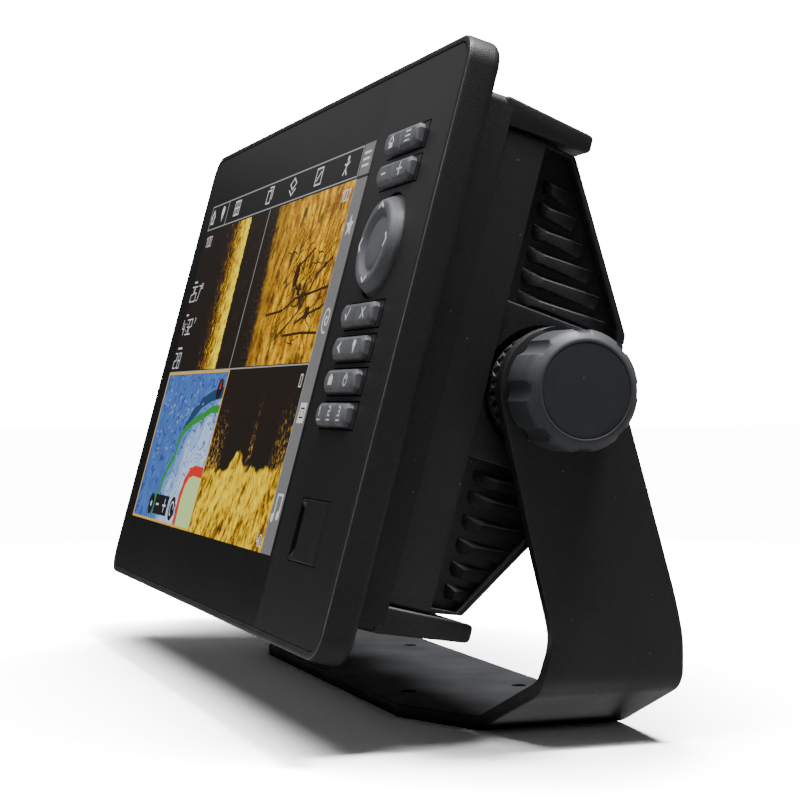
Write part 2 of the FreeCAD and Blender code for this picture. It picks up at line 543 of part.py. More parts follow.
group("sonar_coils", coils)
power = new_body("power_board")
pad_y(power, "power_sheet", [("25", "-45", "85", "45")], "32", "33.6")
cans = []
for index, (x, z) in enumerate(((40, 25), (58, 25), (40, -25), (58, -25))):
    cans.append(rod("can_%d" % index, "y", x, "33.6", z, "5", "14"))
group("power_capacitors", cans)
posts = []
fixings = []
for index, (x, z) in enumerate(((-115, -53), (-115, 53), (73, -53), (73, 53))):
    posts.append(rod("post_%d" % index, "y", x, "13", z, "3", "4"))
    fixings.append(rod("fixing_%d" % index, "y", x, "18.6", z, "2.6", "1.6"))
for index, (x, z) in enumerate(((-90, -45), (-90, 45), (10, -45), (10, 45), (30, -40), (30, 40), (80, -40), (80, 40))):
    posts.append(rod("post_back_%d" % index, "y", x, "18.6", z, "2.5", "13.4"))
    fixings.append(rod("fixing_back_%d" % index, "y", x, "33.6", z, "2.2", "1.5"))
group("board_standoffs", posts)
group("board_screws", fixings)
group("ribbon_cables", [
    block("display_ribbon", "-60", "8.2", "-66", "-36", "18.6", "-65.6"),
    block("keypad_ribbon", "88", "6.7", "20", "88.3", "20", "34")])

# ---------------------------------------------------------------- checks and files
doc.recompute()
for item in doc.Objects:
    if "Invalid" in item.State or "Error" in item.State:
        raise RuntimeError("%s failed: %s" % (item.Name, item.State))
    if item.TypeId == "PartDesign::Pocket":
        before = item.BaseFeature.Shape.Volume
        if item.Shape.Volume > before - 0.001:
            raise RuntimeError("%s cuts nothing" % item.Name)
os.makedirs("parts", exist_ok=True)
for item in outputs:
    shape = item.Shape
    if shape.isNull() or not shape.isValid() or shape.Volume <= 0:
        raise RuntimeError("%s has no valid shape" % item.Label)
    shape.exportStep("parts/%s.step" % item.Label)
    print("%-22s solids %2d volume %9.1f" % (item.Label, len(shape.Solids), shape.Volume))
print(len(outputs), "pieces")
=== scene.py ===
import json
import math

import bmesh
import bpy
import numpy as np
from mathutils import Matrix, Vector

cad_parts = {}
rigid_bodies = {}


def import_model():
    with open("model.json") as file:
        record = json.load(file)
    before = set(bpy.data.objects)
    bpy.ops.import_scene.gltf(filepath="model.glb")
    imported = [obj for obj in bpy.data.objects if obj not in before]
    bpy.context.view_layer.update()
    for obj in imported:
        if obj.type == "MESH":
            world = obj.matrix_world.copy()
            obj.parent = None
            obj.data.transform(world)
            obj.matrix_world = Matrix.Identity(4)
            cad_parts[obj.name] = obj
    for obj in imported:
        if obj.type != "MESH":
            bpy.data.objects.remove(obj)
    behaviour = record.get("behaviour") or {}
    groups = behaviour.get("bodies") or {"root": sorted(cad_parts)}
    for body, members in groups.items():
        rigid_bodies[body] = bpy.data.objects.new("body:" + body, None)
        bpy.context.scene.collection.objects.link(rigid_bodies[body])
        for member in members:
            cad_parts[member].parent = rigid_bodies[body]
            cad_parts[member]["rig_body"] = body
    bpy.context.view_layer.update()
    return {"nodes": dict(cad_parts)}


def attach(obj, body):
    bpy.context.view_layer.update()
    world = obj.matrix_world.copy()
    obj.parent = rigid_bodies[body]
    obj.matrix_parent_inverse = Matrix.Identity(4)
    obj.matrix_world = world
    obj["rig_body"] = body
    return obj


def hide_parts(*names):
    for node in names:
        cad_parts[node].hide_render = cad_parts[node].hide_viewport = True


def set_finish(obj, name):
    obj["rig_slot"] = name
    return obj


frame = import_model()

# ---------------------------------------------------------------- front bezel
# The moulded plastic frame round the front sheet: a proud rim with a soft front chamfer and a rounded back
# edge, and a narrower skirt behind it that meets the case. Injection moulded with a fine spark-eroded grain.
LEAN = math.radians(15)
PIVOT_DEPTH, PIVOT_Y, PIVOT_Z = 53, -7, 104.5
FACE = (151.5, 92, 9)  # half width, half height and corner radius
SKIRT = (139.3, 80.5, 3)
RIM_DEPTH, FRONT_ROUND, BACK_ROUND = 10.5, 1.15, 2.8


def leaned(points):
    """Head millimetres (x across, d behind the face, u up the face) in row metres: x = x,
    y = py + (d - pd) cos a + u sin a, z = pz - (d - pd) sin a + u cos a, with a the lean and p the pivot."""
    x, d, u = points[..., 0], points[..., 1] - PIVOT_DEPTH, points[..., 2]
    y = PIVOT_Y + d * math.cos(LEAN) + u * math.sin(LEAN)
    z = PIVOT_Z - d * math.sin(LEAN) + u * math.cos(LEAN)
    return np.stack([x, y, z], -1) / 1000


def quads(count, across, wrap_rows, wrap_columns, start=0):
    """Corner numbers of the quads of a grid of count rows by across columns, closed either way when asked."""
    i, j = np.meshgrid(np.arange(count if wrap_rows else count - 1),
                       np.arange(across if wrap_columns else across - 1), indexing="ij")
    a, b = (i + 1) % count, (j + 1) % across
    corners = [i * across + j, i * across + b, a * across + b, a * across + j]
    return start + np.stack(corners, -1).reshape(-1, 4)


def shell(name, grids, material, body, slot, ring=False, smooth=32, uv=None):
    """A closed piece from grids of points P(i, j): i runs along the piece and j round it. A ring closes both
    ways, and anything else is capped at its first and last row."""
    points, faces, start = [], [], 0
    for grid in grids:
        rows, columns = grid.shape[:2]
        points.append(grid.reshape(-1, 3))
        faces += quads(rows, columns, ring, True, start).tolist()
        if not ring:
            faces.append((start + np.arange(columns)).tolist())
            faces.append((start + (rows - 1) * columns + np.arange(columns)).tolist())
        start += rows * columns
    mesh = bpy.data.meshes.new(name)
    mesh.from_pydata(np.concatenate(points).tolist(), [], faces)
    if uv is not None:
        layer = mesh.uv_layers.new(name="UVMap")
        corner = np.zeros(len(mesh.loops), np.int32)
        mesh.loops.foreach_get("vertex_index", corner)
        layer.data.foreach_set("uv", uv[corner].astype(np.float32).ravel())
    work = bmesh.new()
    work.from_mesh(mesh)
    bmesh.ops.recalc_face_normals(work, faces=work.faces)
    work.to_mesh(mesh)
    work.free()
    mesh.polygons.foreach_set("use_smooth", np.ones(len(mesh.polygons), bool))
    mesh.set_sharp_from_angle(angle=math.radians(smooth))
    mesh.materials.append(material)
    item = bpy.data.objects.new(name, mesh)
    bpy.context.scene.collection.objects.link(item)
    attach(item, body)
    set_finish(item, slot)
    return item


def angles(count):
    """The angles of count points spaced evenly round a circle."""
    return np.arange(count) * 2 * np.pi / count


def rounded(half_w, half_h, radius, steps=9):
    """Points round a rectangle with quarter-circle corners: corner centre + r (cos t, sin t)."""
    t = np.linspace(0, np.pi / 2, steps)[None] + np.arange(4)[:, None] * np.pi / 2
    x = (half_w - radius) * np.array([1, -1, -1, 1])[:, None] + radius * np.cos(t)
    y = (half_h - radius) * np.array([1, 1, -1, -1])[:, None] + radius * np.sin(t)
    return np.stack([x.ravel(), y.ravel()], -1)


def placed(outline, axis, value):
    """A flat outline as points in space, with one value on the given axis: 0 across, 1 depth, 2 up."""
    return np.insert(np.asarray(outline, float), axis, value, 1)


def stack(section, half_w, half_h, radius, steps=9):
    """A grid whose rows are rounded rectangles: row i is drawn in by section[i][0] and lies at depth
    section[i][1]."""
    rows = []
    for inset, depth in section:
        ring = rounded(half_w - inset, half_h - inset, max(radius - inset, 0.25), steps)
        rows.append(placed(ring, 1, depth))
    return np.array(rows)


class Field:
    """A number, place or colour that varies over a surface: one output of a shader node. Arithmetic on it adds
    the nodes that work it out."""

    def __init__(self, socket):
        self.socket, self.tree = socket, socket.id_data

    def __add__(self, other):
        return calc("ADD", self, other)

    def __sub__(self, other):
        return calc("SUBTRACT", self, other)

    def __rsub__(self, other):
        return calc("SUBTRACT", other, self)

    def __mul__(self, other):
        return calc("MULTIPLY", self, other)

    def __pow__(self, other):
        return calc("POWER", self, other)

    __radd__, __rmul__ = __add__, __mul__


def add(tree, kind, inputs=(), output=0, **settings):
    """A new shader node's output. An input takes a value or another Field."""
    node = tree.nodes.new("ShaderNode" + kind)
    for key, value in settings.items():
        setattr(node, key, value)
    for key, value in dict(inputs).items():
        if isinstance(value, Field):
            tree.links.new(value.socket, node.inputs[key])
        else:
            node.inputs[key].default_value = value
    return Field(node.outputs[output])


def calc(operation, a, b=0.0, clamp=False):
    """One step of arithmetic, with at least one Field in it."""
    tree = (a if isinstance(a, Field) else b).tree
    return add(tree, "Math", {0: a, 1: b}, operation=operation, use_clamp=clamp)


def slide(value, low, high, start=0.0, end=1.0):
    """start where value is low, end where it is high, in proportion between and level beyond."""
    inputs = {"Value": value, "From Min": low, "From Max": high, "To Min": start, "To Max": end}
    return add(value.tree, "MapRange", inputs)


def over(mask, below, above):
    """The colour above where the mask is 1, and below where it is 0."""
    below, above = (colour if isinstance(colour, Field) else (*colour, 1) for colour in (below, above))
    return add(mask.tree, "Mix", {0: mask, 6: below, 7: above}, output=2, data_type="RGBA")


def drive(node, **fields):
    """Links Fields to a node's inputs, whose names are written with _ for a space."""
    for key, field in fields.items():
        field.tree.links.new(field.socket, node.inputs[key.replace("_", " ")])


def blank(name):
    """A new material, its node tree and its main shader."""
    material = bpy.data.materials.new(name)
    material.use_nodes = True
    return material, material.node_tree, material.node_tree.nodes["Principled BSDF"]


# A dust grey for the flecks, and a light grey for the painted top light on upward faces.
DUST_GREY, PAINTED_LIGHT_GREY = (0.3, 0.29, 0.27), (0.20, 0.204, 0.22)


def grained(name, dark, light, rough, grain, deep, patch=18, top_light_paint=0.0, gloss=0.5, metal=0.0):
    """A moulded, cast or painted surface. Cloudy drift (patch in millimetres) and a pebble grain (grain in
    millimetres) move the colour between dark and light, the roughness and the bump; sparse dust flecks pale it,
    and a painted top light, in cloudy patches, pales what faces up."""
    material, tree, shader = blank(name)
    where = add(tree, "TexCoord", output="Object")
    cloud = add(tree, "TexNoise", {"Vector": where, "Scale": 1000 / patch, "Detail": 4.0})
    pebble = add(tree, "TexNoise", {"Vector": where, "Scale": 1000 / grain, "Detail": 2.0})
    fleck = add(tree, "TexVoronoi", {"Vector": where, "Scale": 160.0})
    spot = calc("LESS_THAN", fleck, 0.045) * (0.5 * cloud)
    tone = slide(0.9 * cloud + 0.9 * pebble, 0.6, 1.2)
    upward = add(tree, "SeparateXYZ", {0: add(tree, "TexCoord", output="Normal")}, output="Z")
    # Painted top light: what faces up is paled towards a light grey, as if lit from above.
    painted_top_light = calc("MULTIPLY", slide(upward, 0.55, 0.9), cloud * (2 * top_light_paint), clamp=True)
    dusty = over(spot, over(tone, dark, light), DUST_GREY)
    bump = add(tree, "Bump", {"Height": pebble, "Strength": deep, "Distance": grain / 2500})
    matt = slide(tone, 0.0, 1.0, rough + 0.07, rough - 0.06) + 0.2 * spot
    drive(shader, Base_Color=over(painted_top_light, dusty, PAINTED_LIGHT_GREY), Roughness=matt, Normal=bump)
    shader.inputs["Specular IOR Level"].default_value = gloss
    shader.inputs["Metallic"].default_value = metal
    return material


# Its upward faces are paled a little by a painted top light.
bezel_plastic = grained("bezel_plastic", (0.010, 0.010, 0.011), (0.019, 0.0195, 0.021), 0.5, 0.45, 0.45,
                        top_light_paint=0.12, gloss=0.35)
t = np.linspace(0, np.pi / 2, 7)
front_edge = FRONT_ROUND * np.stack([1 - np.sin(t), 1 - np.cos(t)], -1)
back_edge = np.stack([BACK_ROUND * (1 - np.cos(t)), RIM_DEPTH - BACK_ROUND * (1 - np.sin(t))], -1)
rim = np.concatenate([
    [(2.3, 2.7), (2.3, 0.3), (2.22, 0.1), (2.05, 0.02), (1.9, 0.0)], front_edge, [(0, 4.5)], back_edge,
    [(13.6, RIM_DEPTH), (13.6, 2.7)]])
skirt = [(3.0, 10.4), (0.0, 10.4), (0.0, 21.35), (0.12, 21.5), (3.0, 21.5)]
bezel = shell("bezel_frame", [leaned(stack(rim, *FACE, steps=12)), leaned(stack(skirt, *SKIRT))],
              bezel_plastic, "display_head", "bezel_plastic", ring=True)
# A thin pale glossy bead round the front edge of the rim: a painted highlight that stands in for the light line
# along the edge.
highlight_edge_paint = grained("highlight_edge_paint", (0.05, 0.05, 0.052), (0.13, 0.13, 0.135), 0.32, 0.6, 0.2, patch=25, gloss=0.6)
t = angles(10)
bead = 0.40 + 0.22 * np.stack([np.cos(t), -np.sin(t)], -1)
shell("bezel_highlight_bead", [leaned(stack(bead, *FACE, steps=12))], highlight_edge_paint, "display_head", "bezel_plastic",
      ring=True)
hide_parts("front_bezel")

# ---------------------------------------------------------------- front sheet
# One flush coated sheet covers the screen and the keypad; its two halves keep their plain shape. Both are smooth
# satin black with a faint polishing haze and a few specks of lint; the keypad half is a shade paler.
def satin(name, dark, light, rough):
    """A coated sheet: slow haze moves the tint and the roughness, and sparse lint lies on it."""
    material, tree, shader = blank(name)
    where = add(tree, "TexCoord", output="Object")
    haze = add(tree, "TexNoise", {"Vector": where, "Scale": 22.0, "Detail": 5.0})
    lint = 0.25 * calc("LESS_THAN", add(tree, "TexVoronoi", {"Vector": where, "Scale": 140.0}), 0.03)
    tint = over(haze, (dark, dark, 1.06 * dark), (light, light, 1.06 * light))
    fine = add(tree, "TexNoise", {"Vector": where, "Scale": 900.0, "Detail": 1.0})
    bump = add(tree, "Bump", {"Height": fine, "Strength": 0.04, "Distance": 0.0001})
    matt = slide(haze, 0.0, 1.0, rough, rough + 0.08)
    drive(shader, Base_Color=over(lint, tint, (0.3, 0.3, 0.3)), Roughness=matt, Normal=bump)
    shader.inputs["Specular IOR Level"].default_value = 0.3
    return material


def finish(material, *names):
    """Gives the plain pieces of these names one material."""
    for name in names:
        mesh = frame["nodes"][name].data
        mesh.materials.clear()
        mesh.materials.append(material)


front_gloss = satin("front_gloss", 0.003, 0.0065, 0.30)
pad_gloss = satin("pad_gloss", 0.012, 0.018, 0.33)
finish(front_gloss, "front_lens")
finish(pad_gloss, "keypad_fascia")

# ---------------------------------------------------------------- screen picture
# The lit picture seen through the sheet: a status bar, a side bar, a side-looking sonar view, a down-looking
# sonar view, a small chart and a sea-bed view. Each area is a thin bonded layer whose picture is worked out
# from its own flat coordinates, in centimetres from the middle of the face.
# Each layer's front and back depth, in millimetres.
PICTURE, LINES, SYMBOLS = (0.16, 0.2), (0.1, 0.15), (0.07, 0.099)
BUTTONS, SIGNS = (0.085, 0.105), (0.07, 0.084)
NIGHT = (0.010, 0.006, 0.004)


def prisms(name, outlines, layer, material, body="display_head", slot="screen"):
    """Thin closed slabs. Each flat outline (x, u) is a row of points at the layer's front depth and again at
    its back depth; the flat coordinates, in centimetres, are kept for the picture."""
    grids, flats = [], []
    for outline in outlines:
        outline = np.asarray(outline, float)
        grids.append(leaned(np.array([placed(outline, 1, depth) for depth in layer])))
        flats += [outline / 10, outline / 10]
    return shell(name, grids, material, body, slot, uv=np.concatenate(flats))


def box_outline(x0, x1, u0, u1):
    """The four corners of a rectangle."""
    return np.array([(x0, u0), (x1, u0), (x1, u1), (x0, u1)], float)


def box_line(x0, x1, u0, u1):
    """A line once round a rectangle."""
    return box_outline(x0, x1, u0, u1)[[0, 1, 2, 3, 0]]


def strokes(paths, width):
    """Flat bars of one width along polylines, each bar a little longer than its span so that corners close:
    corners = a - h t +- h n and b + h t +- h n, with h half the width."""
    bars = []
    for path in paths:
        path = np.asarray(path, float)
        a, b = path[:-1], path[1:]
        t = (b - a) / np.linalg.norm(b - a, axis=1)[:, None]
        n, h = np.stack([-t[:, 1], t[:, 0]], -1), width / 2
        a, b = a - t * h * 0.8, b + t * h * 0.8
        bars += list(np.stack([a - n * h, b - n * h, b + n * h, a + n * h], 1))
    return bars


def disc(x, u, radius, count=20, squash=1.0):
    """Points round a circle: (x + r cos t, u + r sin t)."""
    t = angles(count)
    return np.stack([x + radius * np.cos(t), u + radius * squash * np.sin(t)], -1)


def lit(name, strength=1.0):
    """A material that glows like a lit picture under a coated sheet, its shader, and its flat coordinates."""
    material, tree, shader = blank(name)
    flat = add(tree, "UVMap")
    x, y = (add(tree, "SeparateXYZ", {0: flat}, output=axis) for axis in "XY")
    shader.inputs["Base Color"].default_value = (0.004, 0.004, 0.004, 1)
    shader.inputs["Roughness"].default_value = 0.33
    shader.inputs["Specular IOR Level"].default_value = 0.15
    shader.inputs["Emission Strength"].default_value = strength
    return material, shader, x, y


def speckle(x, y, across, up, detail=4.0, seed=0.0):
    """Noise over the flat coordinates, with its own scale each way, from 0 to 1."""
    spot = add(x.tree, "CombineXYZ", {0: across * x, 1: up * y, 2: seed})
    return add(x.tree, "TexNoise", {"Vector": spot, "Scale": 1.0, "Detail": detail, "Roughness": 0.65})


def ramp(value, stops):
    """A colour from a value through (place, colour) stops, in rising order."""
    shade = add(value.tree, "ValToRGB", {"Fac": value})
    bar = shade.socket.node.color_ramp
    for index, (place, colour) in enumerate(stops):
        stop = bar.elements[index] if index < 2 else bar.elements.new(place)
        stop.position, stop.color = place, (*colour, 1)
    return shade


def edge(value, soft):
    """A soft step that rises from 0 to 1 as value passes 0."""
    return slide(value, -soft, soft)


# side-looking view, upper left: a bright bank of return with a hard right edge
side_view, shader, x, y = lit("side_view", 1.35)
gap = -0.07 * y - 5.68 - x + (0.5 * speckle(x, y, 0.5, 5.0) - 0.25)
grain = 0.9 * speckle(x, y, 7.0, 2.2) + 0.5 * speckle(x, y, 24.0, 9.0, seed=3.0)
bright = ramp(2.55 - 0.29 * gap - 2.4 * grain, [
    (0.0, NIGHT), (0.2, (0.03, 0.012, 0.002)), (0.42, (0.22, 0.085, 0.002)), (0.66, (0.80, 0.50, 0.002)),
    (1.0, (1.0, 0.86, 0.01))])
faint = over(0.25 * edge(grain - 0.82, 0.1), NIGHT, (0.10, 0.05, 0.02))
drive(shader, Emission_Color=over(edge(gap, 0.05), faint, bright))
prisms("picture_side_view", [box_outline(-135.3, -34.5, -4.3, 57)], PICTURE, side_view)

# second side-looking view, upper right: an amber bottom with a sunken tree
tree_view, shader, x, y = lit("tree_view", 1.45)
wedge = x + 0.155 * y + 1.03 + (speckle(x, y, 1.2, 3.5) - 0.5)
long = speckle(x + 0.155 * y, y, 1.5, 0.12, detail=7.0)
mottle = speckle(x, y, 2.2, 1.3, detail=8.0, seed=5.0)
grain = speckle(x, y, 13.0, 9.0, seed=6.0)
bottom = ramp(0.55 * long + mottle + 0.4 * grain - 0.45, [
    (0.22, (0.03, 0.013, 0.002)), (0.38, (0.14, 0.055, 0.002)), (0.50, (0.38, 0.17, 0.003)),
    (0.62, (0.66, 0.35, 0.004)), (0.76, (0.95, 0.60, 0.01))])
blotch = edge(speckle(x, y, 1.6, 0.9, seed=9.0) - 0.57, 0.03)
bottom = over(0.8 * blotch, bottom, (0.03, 0.014, 0.004))
shade = over(edge(speckle(x, y, 8.0, 8.0, seed=2.0) - 0.62, 0.05), NIGHT, (0.16, 0.075, 0.012))
shade = over(edge(wedge + 0.9, 0.6), NIGHT, shade)
dim = 0.6 * (1.0 - edge(wedge - 1.3, 1.0))
bottom = over(dim, bottom, (0.10, 0.04, 0.003))
drive(shader, Emission_Color=over(edge(wedge, 0.25), shade, bottom))
prisms("picture_tree_view", [box_outline(-33.3, 69.9, -4.3, 57)], PICTURE, tree_view)

TWIGS = 90
chance = np.random.default_rng(4)
start = np.stack([chance.uniform(8, 66, TWIGS), chance.uniform(3, 38, TWIGS)], -1)
heading = chance.normal(0.35, 0.7, (TWIGS, 1)) + np.array([[0, 0.25, -0.1]])
spans = chance.uniform(1.5, 5, (TWIGS, 3, 1)) * np.stack([np.cos(heading), np.sin(heading)], -1)
twigs = np.concatenate([start[:, None], start[:, None] + np.cumsum(spans, 1)], 1)
twigs = twigs[(twigs[..., 0].max(1) < 69) & (twigs[..., 1].min(1) > -3)]
limbs = [
    [(0, 14.3), (20, 15.1), (34, 18.9), (53, 20), (69, 21.1)],
    [(19.5, 5), (32.5, 10.1), (43, 15.1), (28.8, 24.7), (27.5, 30.4), (43, 36)],
    [(40.4, 9.8), (52.7, 12.5), (65.5, 14), (69.2, 15)],
    [(28.7, 5.8), (51.1, 6.1), (69, 5.5)],
    [(43, 15), (52, 26), (66, 31)]]
clumps = [disc(27.5, 27.6, 3.0, squash=1.5), disc(59.6, 29, 1.6, squash=0.7), disc(35, 22, 2.2),
          disc(52, 13, 2.4)]
ink, shader, x, y = lit("shadow_ink")
inked = ramp(speckle(x, y, 9.0, 9.0), [(0.4, (0.012, 0.006, 0.002)), (0.75, (0.10, 0.045, 0.006))])
drive(shader, Emission_Color=inked)
prisms("picture_sunken_tree", strokes(limbs, 0.95) + strokes(list(twigs), 0.42) + clumps, (0.12, 0.159), ink)

# chart, lower left: water with depth lines, a paler shoal, a green drop-off line and red-edged land
chart, shader, x, y = lit("chart_view", 1.25)
wave = 3.6 * speckle(x, y, 0.7, 0.7, detail=1.5) - 1.8
level = calc("SQRT", (x + 3.6) ** 2 + (y + 7.4) ** 2) + 0.9 * wave
water = ramp(level * (1 / 11), [
    (0.22, (0.55, 0.64, 0.82)), (0.42, (0.40, 0.53, 0.78)), (0.52, (0.09, 0.20, 0.48)),
    (0.6, (0.052, 0.12, 0.40)), (1.0, (0.050, 0.115, 0.38))])
patchy = edge(speckle(x, y, 1.1, 1.1, seed=7.0) - 0.55, 0.12)
water = over(0.35 * patchy, water, (0.10, 0.30, 0.72))
line = calc("LESS_THAN", calc("FRACT", level * 2.3), 0.2)
drive(shader, Emission_Color=over(0.7 * line, water, (0.010, 0.035, 0.17)))
prisms("picture_chart", [box_outline(-134.7, -32.4, -66.4, -6.2)], PICTURE, chart)


def painted(name, colour, strength=1.0):
    """A lit colour with a slight mottle."""
    material, shader, x, y = lit(name, strength)
    deep = tuple(0.82 * part for part in colour)
    drive(shader, Emission_Color=ramp(speckle(x, y, 6.0, 6.0), [(0.3, deep), (0.7, colour)]))
    return material


lit_green = painted("chart_green", (0.035, 0.30, 0.045))
lit_red = painted("chart_red", (0.78, 0.035, 0.02))
lit_land = painted("chart_land", (0.62, 0.86, 0.34))
lit_dark = painted("chart_dark", (0.02, 0.06, 0.16))
lit_mark = painted("chart_mark", (0.55, 0.50, 0.62), 0.8)
lit_gold = painted("frame_gold", (0.86, 0.52, 0.06))
land = [(-56.5, -66.3), (-57.2, -56), (-55.8, -50), (-52, -46.6), (-46, -45.6), (-32.5, -46), (-32.5, -66.3)]
shore = [(-57.8, -65.6), (-59, -56), (-57, -49.4), (-52.5, -45.6), (-46, -44.5), (-33.4, -44.9)]
bank = [(-34, -14), (-48, -15.2), (-62, -18), (-74, -23.5), (-81, -29)]
dropoff = [
    (-34, -20.3), (-44, -20.6), (-54, -23), (-69.3, -25.7), (-79.2, -29), (-86.5, -34), (-85.5, -40), (-92, -45),
    (-96.5, -50), (-97, -55.2), (-102.4, -59.5), (-101.5, -63.9)]
marks = np.stack([chance.uniform(-131, -60, 46), chance.uniform(-42, -9, 46)], -1)
dashes = [np.stack([mark, mark + (1.2, 0.5)]) for mark in marks]
prisms("chart_land", [land], (0.13, 0.159), lit_land)
prisms("chart_shore", strokes([shore], 4.0), (0.11, 0.129), lit_red)
prisms("chart_bank", strokes([bank], 4.4), (0.14, 0.159), lit_dark)
prisms("chart_dropoff", strokes([dropoff], 3.0), (0.11, 0.139), lit_green)
prisms("chart_soundings", strokes(dashes, 0.7), (0.12, 0.139), lit_mark)
prisms("chart_frame", strokes([box_line(-134.9, -32.2, -66.6, -5.6)], 0.9), LINES, lit_gold)

# sea-bed view, lower right: dark water over a bright, ragged bottom with thin columns of return
bed_view, shader, x, y = lit("bed_view", 1.25)
hill = calc("POWER", 2.718, -1.6 * (x - 1.2) ** 2)
under = 0.7 * hill - 4.75 + 0.95 * speckle(x, y, 1.5, 0.6) + 0.045 * x - y
streak = 0.55 * speckle(x - 0.7 * y, y, 0.8, 0.35, detail=9.0)
streak = streak + 0.5 * speckle(x, y, 4.0, 2.6, detail=8.0, seed=4.0)
bed = ramp(streak - 0.012 * under, [
    (0.38, (0.03, 0.012, 0.002)), (0.45, (0.18, 0.07, 0.001)), (0.52, (0.76, 0.46, 0.001)),
    (0.63, (1.0, 0.82, 0.0))])
left, right = 1.0 - edge(x + 1.5, 0.5), edge(x - 5.7, 0.5)
thin = calc("LESS_THAN", calc("ABSOLUTE", x - 2.6), 0.25)
column = calc("ADD", left + 0.8 * right, 0.75 * thin, clamp=True)
drop = slide(under, -3.0, 0.0)
spray = edge(speckle(x, y, 8.0, 4.0, seed=8.0) + 0.13 * drop - 0.66, 0.04)
spray = spray * (column * calc("MULTIPLY", drop, 1.6, clamp=True))
sky = over(spray, (0.012, 0.007, 0.005), (0.55, 0.30, 0.03))
drive(shader, Emission_Color=over(edge(under, 0.06), sky, bed))
prisms("picture_bed_view", [box_outline(-31.0, 70.0, -67, -5.6)], PICTURE, bed_view)

# bars, dividing lines, symbols and figures
lit_bar = painted("bar_grey", (0.20, 0.20, 0.205))
lit_black = painted("bar_black", (0.010, 0.010, 0.011))
lit_white = painted("symbol_white", (0.80, 0.80, 0.80))
lit_line = painted("line_grey", (0.40, 0.40, 0.40))
prisms("side_bar", [box_outline(70.9, 81.7, -67, 68.6)], PICTURE, lit_bar)
prisms("status_bar", [box_outline(-135.3, 70.3, 57.6, 68.6)], PICTURE, lit_black)
bar_lines = strokes([box_line(-134.9, 70, 57.9, 68.2), [(-106.4, 58), (-106.4, 68)]], 0.45)
view_lines = strokes([[(-33.9, 57), (-33.9, -4.2)], [(-135, -4.9), (69.8, -4.9)],
                      [(70.5, -66.8), (70.5, 57)]], 0.5)
prisms("screen_lines", bar_lines + view_lines, LINES, lit_line)
prisms("side_bar_marks", strokes([[(71, 57.2), (81.6, 57.2)]], 0.9), LINES, lit_black)
t = angles(10) + np.pi / 2
star = np.stack([np.cos(t), np.sin(t)], -1) * np.tile([3.9, 1.6], 5)[:, None] + (76, 40.7)
t = np.linspace(0.6, 3.6 * np.pi, 34)
spiral = np.stack([77 + 0.36 * t * np.cos(t), 9.8 + 0.42 * t * np.sin(t)], -1)
symbols = [star, box_outline(73.2, 80.0, -24.4, -17.8)]
symbols += strokes([[(72.8, u), (79, u)] for u in (61, 63.2, 65.4)], 0.8) + strokes([spiral], 0.6)
symbols += strokes([[(74.2, -55.5), (74.2, -47.8), (79.6, -47.8), (79.6, -54.2)]], 0.8)
symbols += [disc(73.2, -55.3, 1.5), disc(78.6, -54.4, 1.5)]
symbols += strokes([[(-133, 63.2), (-130.3, 66), (-127.6, 63.2)],
                    [(-132, 63), (-132, 60.6), (-128.6, 60.6), (-128.6, 63)]], 0.9)
symbols += [disc(-114, 64.6, 2.2), np.array([(-115.8, 63.8), (-114, 60), (-112.2, 63.8)])]
symbols += strokes([box_line(-94, -86, 60.6, 66.4), [(-94, 63.5), (-86, 63.5)],
                    *([(x, 60.6), (x, 66.4)] for x in (-91.3, -88.7)),
                    box_line(-44, -39, 60.4, 65.4), [(-42, 66.6), (-37, 66.6), (-37, 61.8)],
                    [(-12.6, 64.4), (-8.8, 66.6), (-5, 64.4), (-8.8, 62.2), (-12.6, 64.4)],
                    [(-12.6, 62.2), (-8.8, 60), (-5, 62.2)],
                    box_line(20, 27, 60.4, 66.4), [(21.5, 62), (25.5, 65)]], 0.6)
symbols += [disc(55.6, 65.8, 1.0)]
symbols += strokes([[(55.4, 64.4), (54.6, 62.2), (56.6, 60.2)], [(54.8, 62.2), (52.8, 60.4)],
                    [(53, 64), (55.2, 63.4), (57.4, 64.4)]], 0.7)
prisms("screen_symbols", symbols, SYMBOLS, lit_white)
prisms("box_symbol", strokes([box_line(74.9, 78.4, -22.6, -19.6)], 0.55), (0.05, 0.069), lit_black)
FIGURES = {
    "0": [[(0, 0), (1, 0), (1, 2), (0, 2), (0, 0)]],
    "1": [[(0.2, 1.6), (0.6, 2), (0.6, 0)]],
    "2": [[(0, 2), (1, 2), (1, 1.05), (0, 0.9), (0, 0), (1, 0)]],
    "3": [[(0, 2), (1, 2), (1, 0), (0, 0)], [(0.3, 1), (1, 1)]],
    "4": [[(0, 2), (0, 0.8), (1, 0.8)], [(0.75, 1.5), (0.75, 0)]],
    "5": [[(1, 2), (0, 2), (0, 1.1), (1, 1.1), (1, 0), (0, 0)]],
    "7": [[(0, 2), (1, 2), (0.35, 0)]],
    "8": [[(0, 0), (1, 0), (1, 2), (0, 2), (0, 0)], [(0, 1), (1, 1)]],
    ".": [[(0.3, 0.05), (0.5, 0.05)]],
    ":": [[(0.4, 0.5), (0.55, 0.5)], [(0.4, 1.4), (0.55, 1.4)]]}


def figures(text, x, u, height, pen):
    """Bars that draw figures side by side, the first at (x, u), each 0.58 as wide as it is high."""
    bars = []
    for sign in text:
        wide = 0.58 * height
        bars += strokes([np.array(path) * (wide, height / 2) + (x, u) for path in FIGURES[sign]], pen)
        x += (0.5 if sign in ".:" else 1.36) * wide
    return bars


